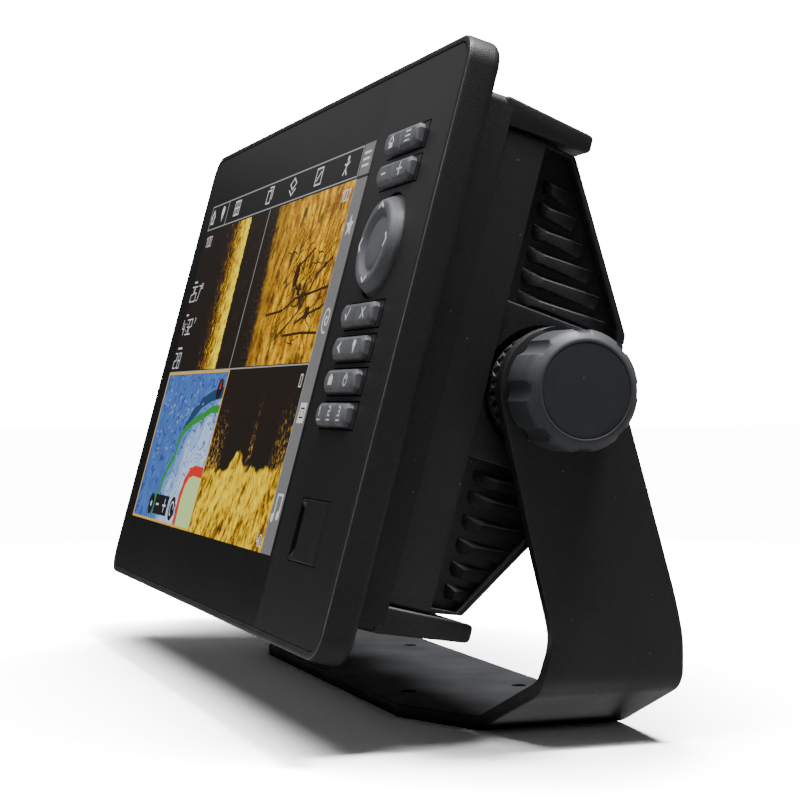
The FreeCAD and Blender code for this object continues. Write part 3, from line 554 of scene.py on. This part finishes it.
readout = strokes([[(-132, 34.6), (-128, 34.6)], [(-131.5, 20.2), (-128.6, 20.2)],
                   [(-131, 5.6), (-124.6, 5.6)]], 0.8)
for text, x, u, height, pen in (
        ("25.7", -134, 26.2, 6.4, 0.5), ("4:32", -133.6, 11.6, 6.4, 0.5), ("2.8", -133.2, -3.0, 6.4, 0.5),
        ("0", -117.2, 31.2, 2.2, 0.35), ("7", -113.8, 16.2, 2.0, 0.35), ("100", -131.5, 50.2, 4.2, 0.38),
        ("100", 58.6, 50.4, 3.7, 0.42), ("0", 65, -12.4, 4, 0.45), ("40", 62.2, -65.2, 3.6, 0.45)):
    readout += figures(text, x, u, height, pen)
prisms("screen_readout", readout, SYMBOLS, lit_white)
buttons = [disc(-105.5, -60.3, 4.4), box_outline(-99.5, -75.5, -64, -56), disc(-67.5, -60.4, 4.8),
           disc(-39.6, -12.6, 4.2)]
prisms("chart_buttons", buttons, BUTTONS, lit_black)
minus_plus = strokes([[(-96, -60), (-92, -60)], [(-84, -60), (-79, -60)],
                      [(-81.5, -62.4), (-81.5, -57.6)]], 0.8)
hook = strokes([disc(-67.5, -60.4, 2.6)[:16]], 0.7)
prisms("button_symbols", [disc(-105.5, -60.3, 1.2)] + minus_plus + hook, SIGNS, lit_white)
prisms("compass_needle", [[(-40.8, -12.6), (-39.6, -8.8), (-38.4, -12.6)]], SIGNS, lit_red)

# ---------------------------------------------------------------- rocker keys
# Six moulded rubber keys, each one bar whose halves (three on the lowest) are parted by a V groove, with a
# bevelled top and cropped ends. Pale printed symbols sit on the tops.
key_rubber = grained("key_rubber", (0.092, 0.095, 0.103), (0.136, 0.140, 0.151), 0.55, 0.35, 0.3, patch=9,
                     gloss=0.35)
key_print = grained("key_print", (0.70, 0.71, 0.73), (0.88, 0.89, 0.90), 0.5, 0.2, 0.2, patch=3)
KEY_HALF = 3.45
LOBE_ENDS = {2: (99.6, 114.1, 128.6), 3: (99.6, 109.3, 118.9, 128.6)}
KEY_PRINT = (-2.43, -2.395)


def key_lobe(x0, x1, level, left_end, right_end):
    """One lobe of a key. Row i is an eight-sided outline drawn in by k(i) at depth d(i); an outer end is cropped
    1.4 at its corners and an inner end only 0.3, where it meets the next lobe at the foot of the groove."""
    rows = []
    l, r = (1.4 if left_end else 0.3), (1.4 if right_end else 0.3)
    for k, depth in ((0, 1.9), (0, -1.25), (0.06, -1.42), (0.42, -1.85), (0.85, -2.22), (1.1, -2.36),
                     (1.45, -2.4)):
        a, b, c, e = x0 + k, x1 - k, level - KEY_HALF + k, level + KEY_HALF - k
        flat = [(a + l, c), (b - r, c), (b, c + r), (b, e - r), (b - r, e), (a + l, e), (a, e - l), (a, c + l)]
        rows.append(placed(flat, 1, depth))
    return leaned(np.array(rows))


for name, level, parts in (
        ("home_menu_key", 63.8, 2), ("zoom_key", 53.6, 2), ("enter_exit_key", 9.2, 2),
        ("goto_mark_key", -1.1, 2), ("camera_power_key", -11.3, 2), ("preset_key", -21.6, 3)):
    ends = LOBE_ENDS[parts]
    lobes = [key_lobe(ends[k], ends[k + 1], level, k == 0, k == parts - 1) for k in range(parts)]
    key = shell(name + "_cap", lobes, key_rubber, name, "key_rubber", smooth=24)
    opening = box_outline(99.1, 131.7, level - 4, level + 4)
    prisms(name + "_skirt", [opening], (0.1, 1.85), pad_gloss, name, "key_rubber")
    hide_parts(name)
a, b = 106.6, 121.2  # the middles of the two halves
t = np.linspace(0.6, 5.68, 14)
power_ring = np.stack([b + 1.6 * np.sin(t), -11.5 + 1.6 * np.cos(t)], -1)
key_symbols = {
    "home_menu_key": strokes([[(a - 2.2, 63.6), (a, 65.6), (a + 2.2, 63.6)],
                              *([(b - 2, u), (b + 2, u)] for u in (65.3, 63.8, 62.3))], 0.5)
    + [box_outline(a - 1.5, a + 1.5, 61.8, 63.6)],
    "zoom_key": strokes([[(a - 1.7, 53.6), (a + 1.7, 53.6)], [(b - 1.9, 53.6), (b + 1.9, 53.6)],
                         [(b, 51.7), (b, 55.5)]], 0.6),
    "enter_exit_key": strokes([[(a - 1.8, 9.2), (a - 0.5, 7.7), (a + 1.9, 10.9)],
                               [(b - 1.5, 7.7), (b + 1.5, 10.7)], [(b - 1.5, 10.7), (b + 1.5, 7.7)]], 0.55),
    "goto_mark_key": [[(a - 1.9, -1.1), (a + 1.9, 0.9), (a + 0.5, -1.1), (a + 1.9, -3.1)], disc(b, -0.4, 1.4),
                      [(b - 1.2, -1), (b, -3.4), (b + 1.2, -1)]],
    "camera_power_key": [box_outline(a - 1.9, a + 1.9, -12.8, -10.2),
                         box_outline(a - 0.8, a + 0.8, -10.2, -9.5)]
    + strokes([power_ring, [(b, -11), (b, -9.3)]], 0.5),
    "preset_key": []}
for sign, x in (("1", 102.8), ("2", 112.6), ("3", 122.2)):
    key_symbols["preset_key"] += figures(sign, x, -22.2, 2.6, 0.5)
    key_symbols["preset_key"] += strokes([[(x - 0.2, -23.6), (x + 2.6, -23.6)]], 0.4)
for name, outlines in key_symbols.items():
    prisms(name + "_print", outlines, KEY_PRINT, key_print, name, "key_rubber")

# ---------------------------------------------------------------- direction pad
# A round rubber rocker: sloped skirt, flat arrow ring, concave slope and a slightly domed middle, turned about
# its own axis, with four printed arrow heads.
PAD_X, PAD_U = 115.4, 31


def turned(profile, count, centre_x, centre_u):
    """A surface of revolution about the face's depth axis: (cx + r cos t, d, cu + r sin t) for each (r, d)."""
    return leaned(np.array([placed(disc(centre_x, centre_u, r, count), 1, d) for r, d in profile]))


pad_profile = [
    (2.4, 1.9), (16, 1.4), (16, 0.9), (15.2, 0.8), (15.1, -0.4), (15.0, -0.6), (14.7, -1.0), (13.9, -2.1),
    (13.5, -2.6), (13.2, -2.85), (12.8, -3.0), (12.3, -3.05), (11.0, -3.05), (10.6, -2.97), (10.1, -2.7),
    (9.3, -1.9), (8.7, -1.6), (8.3, -1.56), (8.05, -1.64), (7.7, -1.78), (6, -2.0), (3, -2.15), (0.05, -2.2)]
pad = shell("direction_pad_cap", [turned(pad_profile, 96, PAD_X, PAD_U)], key_rubber, "direction_pad",
            "key_rubber", smooth=50)
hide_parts("direction_pad")
arrow = np.array([(-1.9, 10.9), (0, 12.3), (1.9, 10.9)])
arrows = [arrow @ np.array([[c, s], [-s, c]]) + (PAD_X, PAD_U) for c, s in ((1, 0), (0, 1), (-1, 0), (0, -1))]
prisms("direction_pad_arrows", strokes(arrows, 0.75), (-3.09, -3.04), key_print, "direction_pad", "key_rubber")

# ---------------------------------------------------------------- card door
# A flush plastic door over the two card slots, with a finger scoop at its free edge and a round knuckle on the
# hinge pin. The scoop is a real pocket whose ends slope up to the surface.
DOOR_MIDDLE, DOOR_HALF = -57, 9.5
SCOOP_END, SCOOP_HALF, SCOOP_DEPTH = 105.7, 8.4, 1.25
door_plastic = grained("door_plastic", (0.009, 0.009, 0.0095), (0.016, 0.016, 0.017), 0.42, 0.4, 0.25,
                       gloss=0.35)
across = np.concatenate([
    [101.3, 101.3], np.linspace(101.45, 104.9, 6), np.linspace(105.1, 105.9, 5), np.linspace(107, 126, 6),
    [126.9, 127.3, 127.5, 127.5]])
rows = []
for v in np.concatenate([[-DOOR_HALF, -9.38], np.linspace(-9.2, 9.2, 47), [9.38, DOOR_HALF]]):
    sunk = SCOOP_DEPTH * np.clip((SCOOP_END - across) / 0.6, 0, 1) * np.clip((SCOOP_HALF - abs(v)) / 2.6, 0, 1)
    depth = 0.22 + sunk + (0.12 if abs(v) > 9.3 else 0.0)
    depth[0] = depth[-1] = 2.1
    depth[-2] += 0.3
    depth[-3] += 0.08
    rows.append(np.stack([across, depth, np.full(len(across), DOOR_MIDDLE + v)], -1))
leaf = shell("card_door_leaf", [leaned(np.array(rows))], door_plastic, "card_door", "bezel_plastic", smooth=25)
ring = disc(127.6, 1.45, 1.25, 24)
knuckle = leaned(np.array([placed(ring, 2, DOOR_MIDDLE + v) for v in (-DOOR_HALF, DOOR_HALF)]))
shell("card_door_knuckle", [knuckle], door_plastic, "card_door", "bezel_plastic")
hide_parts("card_door")

# ---------------------------------------------------------------- rear case
# A die-cast aluminium case in textured black paint: top and bottom flanges, plain side walls, and a hump whose
# sides carry pointed cooling fins in a sunk panel, with a flat hub round each pivot.
HUMP_SIDE, FIN_WALL, HUB_RECESS = 132.9, 132.6, 19.5
# Its upward faces, such as the fins' top facets and the flange tops, are paled by a painted top light.
case_paint = grained("case_paint", (0.014, 0.014, 0.0155), (0.025, 0.0255, 0.028), 0.42, 0.5, 0.5, top_light_paint=0.5,
                     gloss=0.4)


def soften(outline, radius, steps=5):
    """Rounds the corners of a closed outline: each corner p becomes the curve (1-t)^2 a + 2t(1-t) p + t^2 b
    between points a and b on its two sides, at the radius from it or a little under half the side."""
    p = np.asarray(outline, float)
    back, ahead = np.roll(p, 1, 0) - p, np.roll(p, -1, 0) - p
    lengths = [np.linalg.norm(side, axis=1)[:, None] for side in (back, ahead)]
    a, b = (p + side / size * np.minimum(radius, 0.45 * size) for side, size in zip((back, ahead), lengths))
    t = np.linspace(0, 1, steps)[None, :, None]
    return ((1 - t) ** 2 * a[:, None] + 2 * t * (1 - t) * p[:, None] + t ** 2 * b[:, None]).reshape(-1, 2)


def drawn_in(outline, amount):
    """An outline (anticlockwise) drawn in by amount: p + k (n1 + n2) / (1 + n1 . n2), n the inward normals."""
    side = np.roll(outline, -1, 0) - outline
    side = side / np.maximum(np.linalg.norm(side, axis=1), 1e-9)[:, None]
    n2 = np.stack([-side[:, 1], side[:, 0]], -1)
    n1 = np.roll(n2, 1, 0)
    return outline + amount * (n1 + n2) / (1 + (n1 * n2).sum(1))[:, None]


def bar(outline, x0, x1, edge_radius):
    """A solid of one (d, u) outline along x with rounded end edges: stations at r (1 - cos t), drawn in by
    r (1 - sin t)."""
    d, u = outline[:, 0], outline[:, 1]
    outline = outline if np.sum(d * np.roll(u, -1) - np.roll(d, -1) * u) > 0 else outline[::-1]
    t = np.linspace(0, np.pi / 2, 4)
    steps = edge_radius * np.stack([1 - np.cos(t), 1 - np.sin(t)], -1)
    stations = [(x0 + a, k) for a, k in steps] + [(x1 - a, k) for a, k in steps[::-1]]
    return leaned(np.array([placed(drawn_in(outline, inset), 0, x) for x, inset in stations]))


walls = [leaned(stack([(0.1, 21.55), (0, 21.65), (0, 34.1), (0.12, 34.4), (0.5, 34.5)], 138.6, 71.7, 2))]
flange = np.array([(18.5, 80.6), (48.5, 77.1), (48.5, 71.6), (18.5, 72.2)])
hump = [(30, -71.6), (45, -70), (73, -26), (75, -21), (75, 21), (73, 26), (45, 70), (30, 71.6)]
hub = [(34.2, -24.6), (34.2, 22.8), (36, 22.8), (72.0, 20.6), (74.9, 20.4), (75, 18), (75, -20.8),
       (73.1, -25.6), (71.6, -25.2)]
edge_strip = np.array([(34.3, 71.4), (34.3, 69.8), (43.6, 69.2), (71.4, 24.6), (72.4, 20.4), (74.85, 20.2),
                       (74.6, 23.2), (45.1, 69.9)])
hubs = []
for v in (1, -1):
    walls.append(bar(soften(flange * (1, v), 1.7, 7), -139.28, 139.28, 0.9))
for x0, x1 in ((132.5, 137), (-137, -132.5)):
    hubs.append(bar(soften(hub, 1.2), x0, x1, 0.5))
    for v in (1, -1):
        walls.append(bar(soften(edge_strip * (1, v), 0.5, 3), x0 + 0.02, x1 - 0.02, 0.3))


def fin(level, front, rear, side, deep=4.5, drop=0.0):
    """A cooling fin with s running from 0 at its front to 1. It stands out by f(s) = min(0.1 + 4.1 s,
    1 - 0.95 (s - 0.22)): round it the section goes out along the top, down a sloping facet to an upright face
    and back under to the wall."""
    s = np.concatenate([[0.0, 0.005, 0.015, 0.035], np.linspace(0.06, 0.94, 23), [0.965, 0.98, 0.992, 1.0]])
    s = s[:, None]
    f = np.minimum(0.1 + 4.1 * s, 1 - 0.95 * (s - 0.22))
    corner = np.clip(s / 0.08, 0, 1) ** 0.8 * np.clip((1 - s) / 0.04, 0, 1) ** 0.6
    out = FIN_WALL + np.array([[0, 0.3, 3.95, 4.2, 4.3, 4.2, 3.8, 0]]) * f
    fall = np.array([[0, 0, 1.75, 1.9, 2.1, 0, 0, 0]]) * f
    under = np.array([[0, 0, 0, 0, 0, 0.95, 1.0, 0.98]]) * (2.3 + (deep - 2.3) * corner)
    depth = front + (rear - front) * s + 0 * out
    return leaned(np.stack([side * out, depth, level - drop * s - fall - under], -1))


for s in (1, -1):
    for level, rear in ((61.6, 47.2), (54.7, 51.4), (47.8, 55.8), (41.0, 60.4), (34.2, 64.9)):
        walls.append(fin(level, 38.6, rear, s, drop=1.5))
    walls.append(fin(27.4, 39.2, 68.8, s, 3.7, 1.5))
    for level, rear in ((-27.6, 70.0), (-33.9, 66.0), (-41.0, 61.6), (-48.0, 57.0), (-54.9, 52.5),
                        (-61.7, 48.0)):
        walls.append(fin(level, 39.2, rear, s))
walls = shell("case_walls", walls, case_paint, "display_head", "case_metal")
hump = shell("case_hump", [bar(soften(hump, 3), -HUMP_SIDE, HUMP_SIDE, 0.6)], case_paint, "display_head",
             "case_metal")
hubs = shell("case_hubs", hubs, case_paint, "display_head", "case_metal")


def carve(item, cuts):
    """Takes closed grids away from a piece, once, and keeps the result as its mesh."""
    tool = shell("cutting_tool", cuts, item.data.materials[0], item["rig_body"], item["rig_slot"])
    step = item.modifiers.new("cut", "BOOLEAN")
    step.object, step.operation, step.solver, step.use_self = tool, "DIFFERENCE", "EXACT", True
    bpy.context.view_layer.update()
    result = bpy.data.meshes.new_from_object(item.evaluated_get(bpy.context.evaluated_depsgraph_get()))
    item.modifiers.clear()
    result.name = item.name
    item.data = result
    bpy.data.objects.remove(tool)
    result.polygons.foreach_set("use_smooth", np.ones(len(result.polygons), bool))
    result.set_sharp_from_angle(angle=math.radians(32))


def barrel(radius, x0, x1):
    """A round bar along the pivot axis: (x, d + r cos t, u + r sin t)."""
    return leaned(np.array([placed(disc(PIVOT_DEPTH, 0, radius, 96), 0, x) for x in (x0, x1)]))


def drill(radius, x, u):
    """A round bar along the depth axis, through the back of the hump."""
    return turned([(radius, 67), (radius, 76)], 64, x, u)


carve(hubs, [barrel(HUB_RECESS, 132, 139), barrel(HUB_RECESS, -139, -132)])
carve(hump, [drill(radius, x, 0) for radius, x in ((10, -44), (10, 0), (8, 44), (4, 80))])
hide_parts("rear_case")

# ---------------------------------------------------------------- ratchet rings
# Cast crown rings, one pair at each pivot, that lock the lean when the knobs are tight: 32 straight-sided teeth
# round a flat back. Tumbled dark metal, paler in random patches.
TEETH, TOOTH_STEPS = 32, 6
ring_metal = grained("ring_metal", (0.045, 0.045, 0.047), (0.15, 0.15, 0.155), 0.42, 0.3, 0.4, patch=5,
                     metal=0.3)


def pivot_place(points, turned_with_head=True):
    """Points (x, a, b) about the pivot axis in millimetres to row metres, turned with the head when asked."""
    x, a, b = points[..., 0], points[..., 1], points[..., 2]
    c, s = (math.cos(LEAN), math.sin(LEAN)) if turned_with_head else (1.0, 0.0)
    return np.stack([x, PIVOT_Y + a * c + b * s, PIVOT_Z - a * s + b * c], -1) / 1000


t = angles(TEETH * TOOTH_STEPS)
radii = np.array([7.6, 7.6, 11.8, 12.4, 12.4, 17.0, 17.15, 17.15, 7.6])[:, None]
for owner, body, back, root, tip, half in (
        ("head", "display_head", 133.0, 136.3, 138.9, 0.0), ("bracket", "bracket", 144.95, 141.9, 139.3, 0.5)):
    tooth = 2 * np.abs((np.arange(len(t)) / TOOTH_STEPS + half) % 1 - 0.5)
    crown, low, flat = root + (tip - root) * tooth, root + 0 * t, back + 0 * t
    face = np.array([flat, low, low, low, crown, crown, crown - (tip - root) * 0.05, flat, flat])
    for side, s in (("right", 1), ("left", -1)):
        grid = pivot_place(np.stack([s * face, radii * np.cos(t), radii * np.sin(t)], -1), owner == "head")
        ring = shell("%s_crown_%s" % (owner, side), [grid], ring_metal, body, "ring_metal", smooth=20)
        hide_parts("%s_ratchet_%s" % (owner, side))

# ---------------------------------------------------------------- clamp knobs
# Moulded knobs with eight scallops, a bevelled lip and an inset flat cap, on a steel stud with a nylon washer.
SCALLOP_CENTRE, SCALLOP_RADIUS, SCALLOP_FLOOR = 20.8, 4.5, 16.3
SCALLOP_STEP = np.pi / 4
knob_plastic = grained("knob_plastic", (0.040, 0.042, 0.046), (0.062, 0.065, 0.071), 0.5, 0.3, 0.3, patch=12,
                       gloss=0.4)
cap_plastic = grained("cap_plastic", (0.026, 0.027, 0.030), (0.037, 0.0385, 0.042), 0.6, 0.25, 0.2, patch=10,
                      gloss=0.3)
knob_profile = np.array([
    (4.2, 149.9), (16.9, 149.9), (17.25, 150.1), (17.5, 150.5), (17.6, 151.0), (17.6, 155), (17.6, 160),
    (17.6, 163.3), (17.45, 163.9), (17.1, 164.7), (16.3, 165.75), (15.0, 166.75), (14.6, 167.02), 
    (14.2, 167.12), (13.85, 167.1), (13.7, 167.02), (13.66, 166.9), (13.66, 165.7), (4.2, 165.7)])
cap_profile = np.array([
    (13.65, 165.75), (13.65, 166.8), (13.6, 166.93), (13.45, 166.99), (12.6, 167.0), (6, 167.02),
    (0.05, 167.05)])
# A scallop's wall lies at C cos p - sqrt(R^2 - (C sin p)^2) from the axis, p the angle from its middle.
t = angles(512)
phase = (t - LEAN + SCALLOP_STEP / 2) % SCALLOP_STEP - SCALLOP_STEP / 2
aside = SCALLOP_CENTRE * np.sin(phase)
wall = SCALLOP_CENTRE * np.cos(phase) - np.sqrt(np.maximum(SCALLOP_RADIUS ** 2 - aside ** 2, 0))
wall = np.where(np.abs(aside) < SCALLOP_RADIUS, wall, np.inf)
r, reach = knob_profile[:, :1], knob_profile[:, 1:]
r = np.minimum(r, np.maximum(wall, np.minimum(r, SCALLOP_FLOOR)))
cap_r, cap_reach, cap_t = cap_profile[:, :1], cap_profile[:, 1:], t[::4]
for side, s in (("right", 1), ("left", -1)):
    grid = np.stack([s * reach + 0 * t, r * np.cos(t), r * np.sin(t)], -1)
    body = "knob_" + side
    knob = shell("knob_grip_" + side, [pivot_place(grid)], knob_plastic, body, "knob_plastic", smooth=24)
    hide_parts(body)
    grid = np.stack([s * cap_reach + 0 * cap_t, cap_r * np.cos(cap_t), cap_r * np.sin(cap_t)], -1)
    cap = shell("knob_disc_" + side, [pivot_place(grid)], cap_plastic, body, "knob_cap_plastic", smooth=50)
    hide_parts("knob_cap_" + side)

# ---------------------------------------------------------------- gimbal bracket
# One aluminium plate, laser cut, bent to a flat base, a sloping wing and an upright arm on each side, and powder
# coated in fine textured black. Four screw holes go through the base.
ARM_X, ARM_END, HALF_PLATE = 147.1, 18.8, 2.2
# Its upward faces, such as the top of the base, are paled by a painted top light.
powder_coat = grained("powder_coat", (0.009, 0.0093, 0.0103), (0.018, 0.0186, 0.0206), 0.45, 0.4, 0.5,
                      top_light_paint=0.16, gloss=0.45)


def touch(point, side):
    """The point where a line from point touches the arm's round end: the angle at the centre is
    acos(R / distance)."""
    centre = np.array((PIVOT_Y, PIVOT_Z))
    gap = np.asarray(point, float) - centre
    angle = math.atan2(gap[1], gap[0]) + side * math.acos(ARM_END / np.hypot(*gap))
    return centre + ARM_END * np.array((math.cos(angle), math.sin(angle)))


def open_soften(points, radius):
    """soften() on an open line, with its two ends kept."""
    loop = soften(points, radius, 7)
    return np.concatenate([[points[0]], loop[7:-7], [points[-1]]])


front_touch, rear_touch = touch((-15.4, 58), -1), touch((30.4, 44), 1)
front_line = open_soften([(-16.5, 2.2), (-12.6, 20.8), (-8.9, 32), (-15.4, 58), front_touch], 5)
rear_line = open_soften([(32, 2.2), (31.5, 14.8), (33, 18.8), (33, 32), (30.4, 44), rear_touch], 4)
centre_line = open_soften([(0, HALF_PLATE), (108.8, HALF_PLATE), (ARM_X, 18.6), (ARM_X, PIVOT_Z)], 4)
base_x = np.concatenate([np.linspace(0, 76, 5), [77], np.linspace(78, 102, 6)])
arm_z = np.concatenate([np.linspace(26, PIVOT_Z, 41)[:-1], PIVOT_Z + 18.75 * np.sin(np.linspace(0, 1.5, 26))])
x = np.concatenate([base_x, centre_line[1:-1, 0], np.full(len(arm_z), ARM_X)])
z = np.concatenate([np.full(len(base_x), HALF_PLATE), centre_line[1:-1, 1], arm_z])
away = np.hypot(np.gradient(x), np.gradient(z))
across, rise = -np.gradient(z) / away, np.gradient(x) / away
round_end = np.sqrt(np.maximum(ARM_END ** 2 - (z - PIVOT_Z) ** 2, 0))
on_arm = z > 4.3
wing_front = np.interp(x, [77, 109], [-32, -16.5])
y_front = np.where(on_arm, np.interp(z, front_line[:, 1], front_line[:, 0]), wing_front)
y_rear = np.where(on_arm, np.interp(z, rear_line[:, 1], rear_line[:, 0]), 32)
y_front = np.where(z > front_touch[1], PIVOT_Y - round_end, y_front)
y_rear = np.where(z > rear_touch[1], PIVOT_Y + round_end, y_rear)
t = np.linspace(0, np.pi / 2, 4)[None] + np.arange(4)[:, None] * np.pi / 2
corner_a, corner_b = np.array([1, -1, -1, 1])[:, None], np.array([1, 1, -1, -1])[:, None]
half, middle = (y_rear - y_front) / 2, (y_rear + y_front) / 2
soft = np.minimum(0.55, half * 0.9)[:, None, None]
thick = np.where(x > 146, 2.1, HALF_PLATE)[:, None, None]
a = (corner_a * (half[:, None, None] - soft) + soft * np.cos(t)).reshape(len(x), -1)
b = (corner_b * (thick - soft) + soft * np.sin(t)).reshape(len(x), -1)
across, rise, x, z = across[:, None], rise[:, None], x[:, None], z[:, None]
arm = np.stack([x + across * b, middle[:, None] + a, z + rise * b], -1) / 1000
whole = np.concatenate([(arm * (-1, 1, 1))[:0:-1], arm])
bracket = shell("bracket_plate", [whole], powder_coat, "bracket", "bracket_coat", smooth=28)
screw_holes = [np.array([placed(disc(sx * 55, sy * 20, 2.6, 48), 2, z) for z in (-1, 6)]) / 1000
               for sx in (1, -1) for sy in (1, -1)]
carve(bracket, screw_holes)
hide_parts("gimbal_bracket")

# ---------------------------------------------------------------- fixings and turned parts
# Zinc plated steel, brass and natural nylon, each with its own streaks and tarnish.
steel = grained("plated_steel", (0.34, 0.34, 0.35), (0.56, 0.56, 0.57), 0.35, 0.2, 0.2, patch=4, metal=1.0)
brass = grained("turned_brass", (0.42, 0.28, 0.11), (0.66, 0.47, 0.20), 0.3, 0.2, 0.2, patch=4, metal=1.0)
nylon = grained("natural_nylon", (0.55, 0.54, 0.49), (0.72, 0.71, 0.66), 0.5, 0.3, 0.15, patch=6)
finish(steel, "knob_stud_right", "knob_stud_left", "case_screws", "board_screws", "card_door_pin", "lcd_tray",
       "shield_can", "key_domes")
finish(brass, "pivot_insert_right", "pivot_insert_left", "board_standoffs", "socket_pins")
finish(nylon, "knob_washer_right", "knob_washer_left")

# ---------------------------------------------------------------- sockets and vent
# Moulded round connectors in the back of the hump, with keyed insulators and brass pins, and a breather plug.
socket_plastic = grained("socket_plastic", (0.013, 0.013, 0.014), (0.026, 0.026, 0.028), 0.4, 0.3, 0.25,
                         patch=8)
finish(socket_plastic, "power_socket", "sonar_socket", "network_socket", "vent_plug")

# ---------------------------------------------------------------- seals and inner mouldings
# Silicone seals and the dark mouldings behind the front sheet; only their edges show, with the door open.
silicone = grained("silicone", (0.05, 0.05, 0.052), (0.09, 0.09, 0.094), 0.6, 0.4, 0.3, patch=8)
moulding = grained("inner_moulding", (0.018, 0.018, 0.019), (0.034, 0.034, 0.036), 0.5, 0.4, 0.3, patch=10)
finish(silicone, "key_sheet", "case_gasket", "card_door_seal", "lens_adhesive", "processor_heat_pad")
finish(moulding, "card_bay", "card_reader", "pad_swivel", "buzzer", "board_chips", "ribbon_cables")

# ---------------------------------------------------------------- boards and screen stack
# What lies inside the case: the screen cell and its light guide, green boards, coils, cans and the aerial patch.
board_green = grained("board_green", (0.010, 0.07, 0.03), (0.02, 0.13, 0.06), 0.4, 0.5, 0.3, patch=5)
cell = grained("screen_cell", (0.03, 0.03, 0.035), (0.06, 0.06, 0.07), 0.2, 0.3, 0.1, patch=20)
guide = grained("light_guide", (0.66, 0.67, 0.69), (0.82, 0.83, 0.85), 0.3, 0.6, 0.2, patch=12)
sheet_metal = grained("sheet_metal", (0.5, 0.5, 0.51), (0.7, 0.7, 0.71), 0.35, 0.25, 0.2, patch=8, metal=1.0)
ceramic = grained("ceramic_patch", (0.6, 0.56, 0.47), (0.76, 0.72, 0.63), 0.5, 0.4, 0.2, patch=6)
copper = grained("copper_coil", (0.36, 0.16, 0.07), (0.6, 0.3, 0.15), 0.35, 0.3, 0.4, patch=3, metal=0.8)
finish(board_green, "keypad_board", "main_board", "sonar_board", "power_board")
finish(cell, "lcd_panel")
finish(guide, "lcd_backlight")
finish(sheet_metal, "heat_spreader", "power_capacitors")
finish(ceramic, "gps_antenna")
finish(copper, "sonar_coils")

# ---------------------------------------------------------------- floor, light and camera
# A pale floor that fades into the pale studio, with a painted contact shadow round the object (ambient
# occlusion darkens the floor where the camera sees it), a soft light overhead, a small strong one above the
# back, dimmer ones left and right, and a faint one under the base's edge.
FLOOR_HALF = 6
floor_paint, tree, shader = blank("floor_paint")
where = add(tree, "TexCoord", output="Object")
cloud = add(tree, "TexNoise", {"Vector": where, "Scale": 3.0, "Detail": 3.0})
pale = ramp(cloud, [(0.3, (0.80, 0.80, 0.80)), (0.7, (0.82, 0.82, 0.82))])
seen = add(tree, "LightPath", output="Is Camera Ray")
# Painted contact shadow: near the object, the floor the camera sees is darkened by ambient occlusion.
painted_shadow_ao = add(tree, "AmbientOcclusion", {"Distance": 0.45}, output="AO", samples=16) ** 10
near_side = slide(add(tree, "SeparateXYZ", {0: where}, output="X"), 0.05, 0.3, 0.3, 0.2)
lift = seen * painted_shadow_ao * 28 + (2.2 * seen + near_side)
strong = add(tree, "VectorMath", {0: pale, "Scale": lift}, operation="SCALE")
flat_paint = add(tree, "BsdfDiffuse", {"Color": strong})
distance = add(tree, "VectorMath", {0: where}, output="Value", operation="LENGTH")
fade = add(tree, "MapRange", {"Value": distance, "From Min": 0.28, "From Max": 0.75},
           interpolation_type="SMOOTHSTEP")
haze = add(tree, "Emission", {"Color": (1, 1, 1, 1), "Strength": 14.0})
drive(tree.nodes["Material Output"], Surface=add(tree, "MixShader", {0: seen * fade, 1: flat_paint, 2: haze}))
tree.nodes.remove(shader)
mesh = bpy.data.meshes.new("floor")
corners = box_outline(-FLOOR_HALF, FLOOR_HALF, -FLOOR_HALF, FLOOR_HALF)
mesh.from_pydata(placed(corners, 2, 0).tolist(), [], [(0, 1, 2, 3)])
mesh.materials.append(floor_paint)
floor = bpy.data.objects.new("floor", mesh)
bpy.context.scene.collection.objects.link(floor)


def softbox(name, place, aim, size, power):
    """A square area light at place that faces aim."""
    lamp = bpy.data.lights.new(name, "AREA")
    lamp.size, lamp.energy = size, power
    item = bpy.data.objects.new(name, lamp)
    item.location = place
    item.rotation_euler = (Vector(aim) - Vector(place)).to_track_quat("-Z", "Y").to_euler()
    bpy.context.scene.collection.objects.link(item)
    return item


softbox("top_light", (0.15, -0.25, 1.3), (0, 0, 0.05), 0.9, 26)
softbox("left_light", (-1.5, -0.50, 1.1), (0, 0, 0.1), 1.1, 1.2)
softbox("right_light", (0.5, -1.5, 0.9), (0, 0, 0.1), 0.6, 1.0)
softbox("rear_light", (0.30, 0.30, 1.4), (0.1, 0, 0.08), 0.3, 40)
low_glow = softbox("low_glow", (0.142, 0, 0.0015), (0.142, 0, 1), 0.05, 0.0034)
low_glow.visible_camera = False

world = bpy.data.worlds.new("studio")
world.use_nodes = True
ground = world.node_tree.nodes["Background"]
ground.inputs["Color"].default_value = (1, 1, 1, 1)
drive(ground, Strength=19.96 * add(world.node_tree, "LightPath", output="Is Camera Ray") + 0.04)
bpy.context.scene.world = world

camera_data = bpy.data.cameras.new("camera")
camera_data.lens, camera_data.sensor_width = 83.5, 36
camera = bpy.data.objects.new("camera", camera_data)
camera.location = (0.6397, -0.2293, 0.1019)
camera.rotation_euler = (math.radians(90), 0, math.radians(70.57))
bpy.context.scene.collection.objects.link(camera)
bpy.context.scene.camera = camera
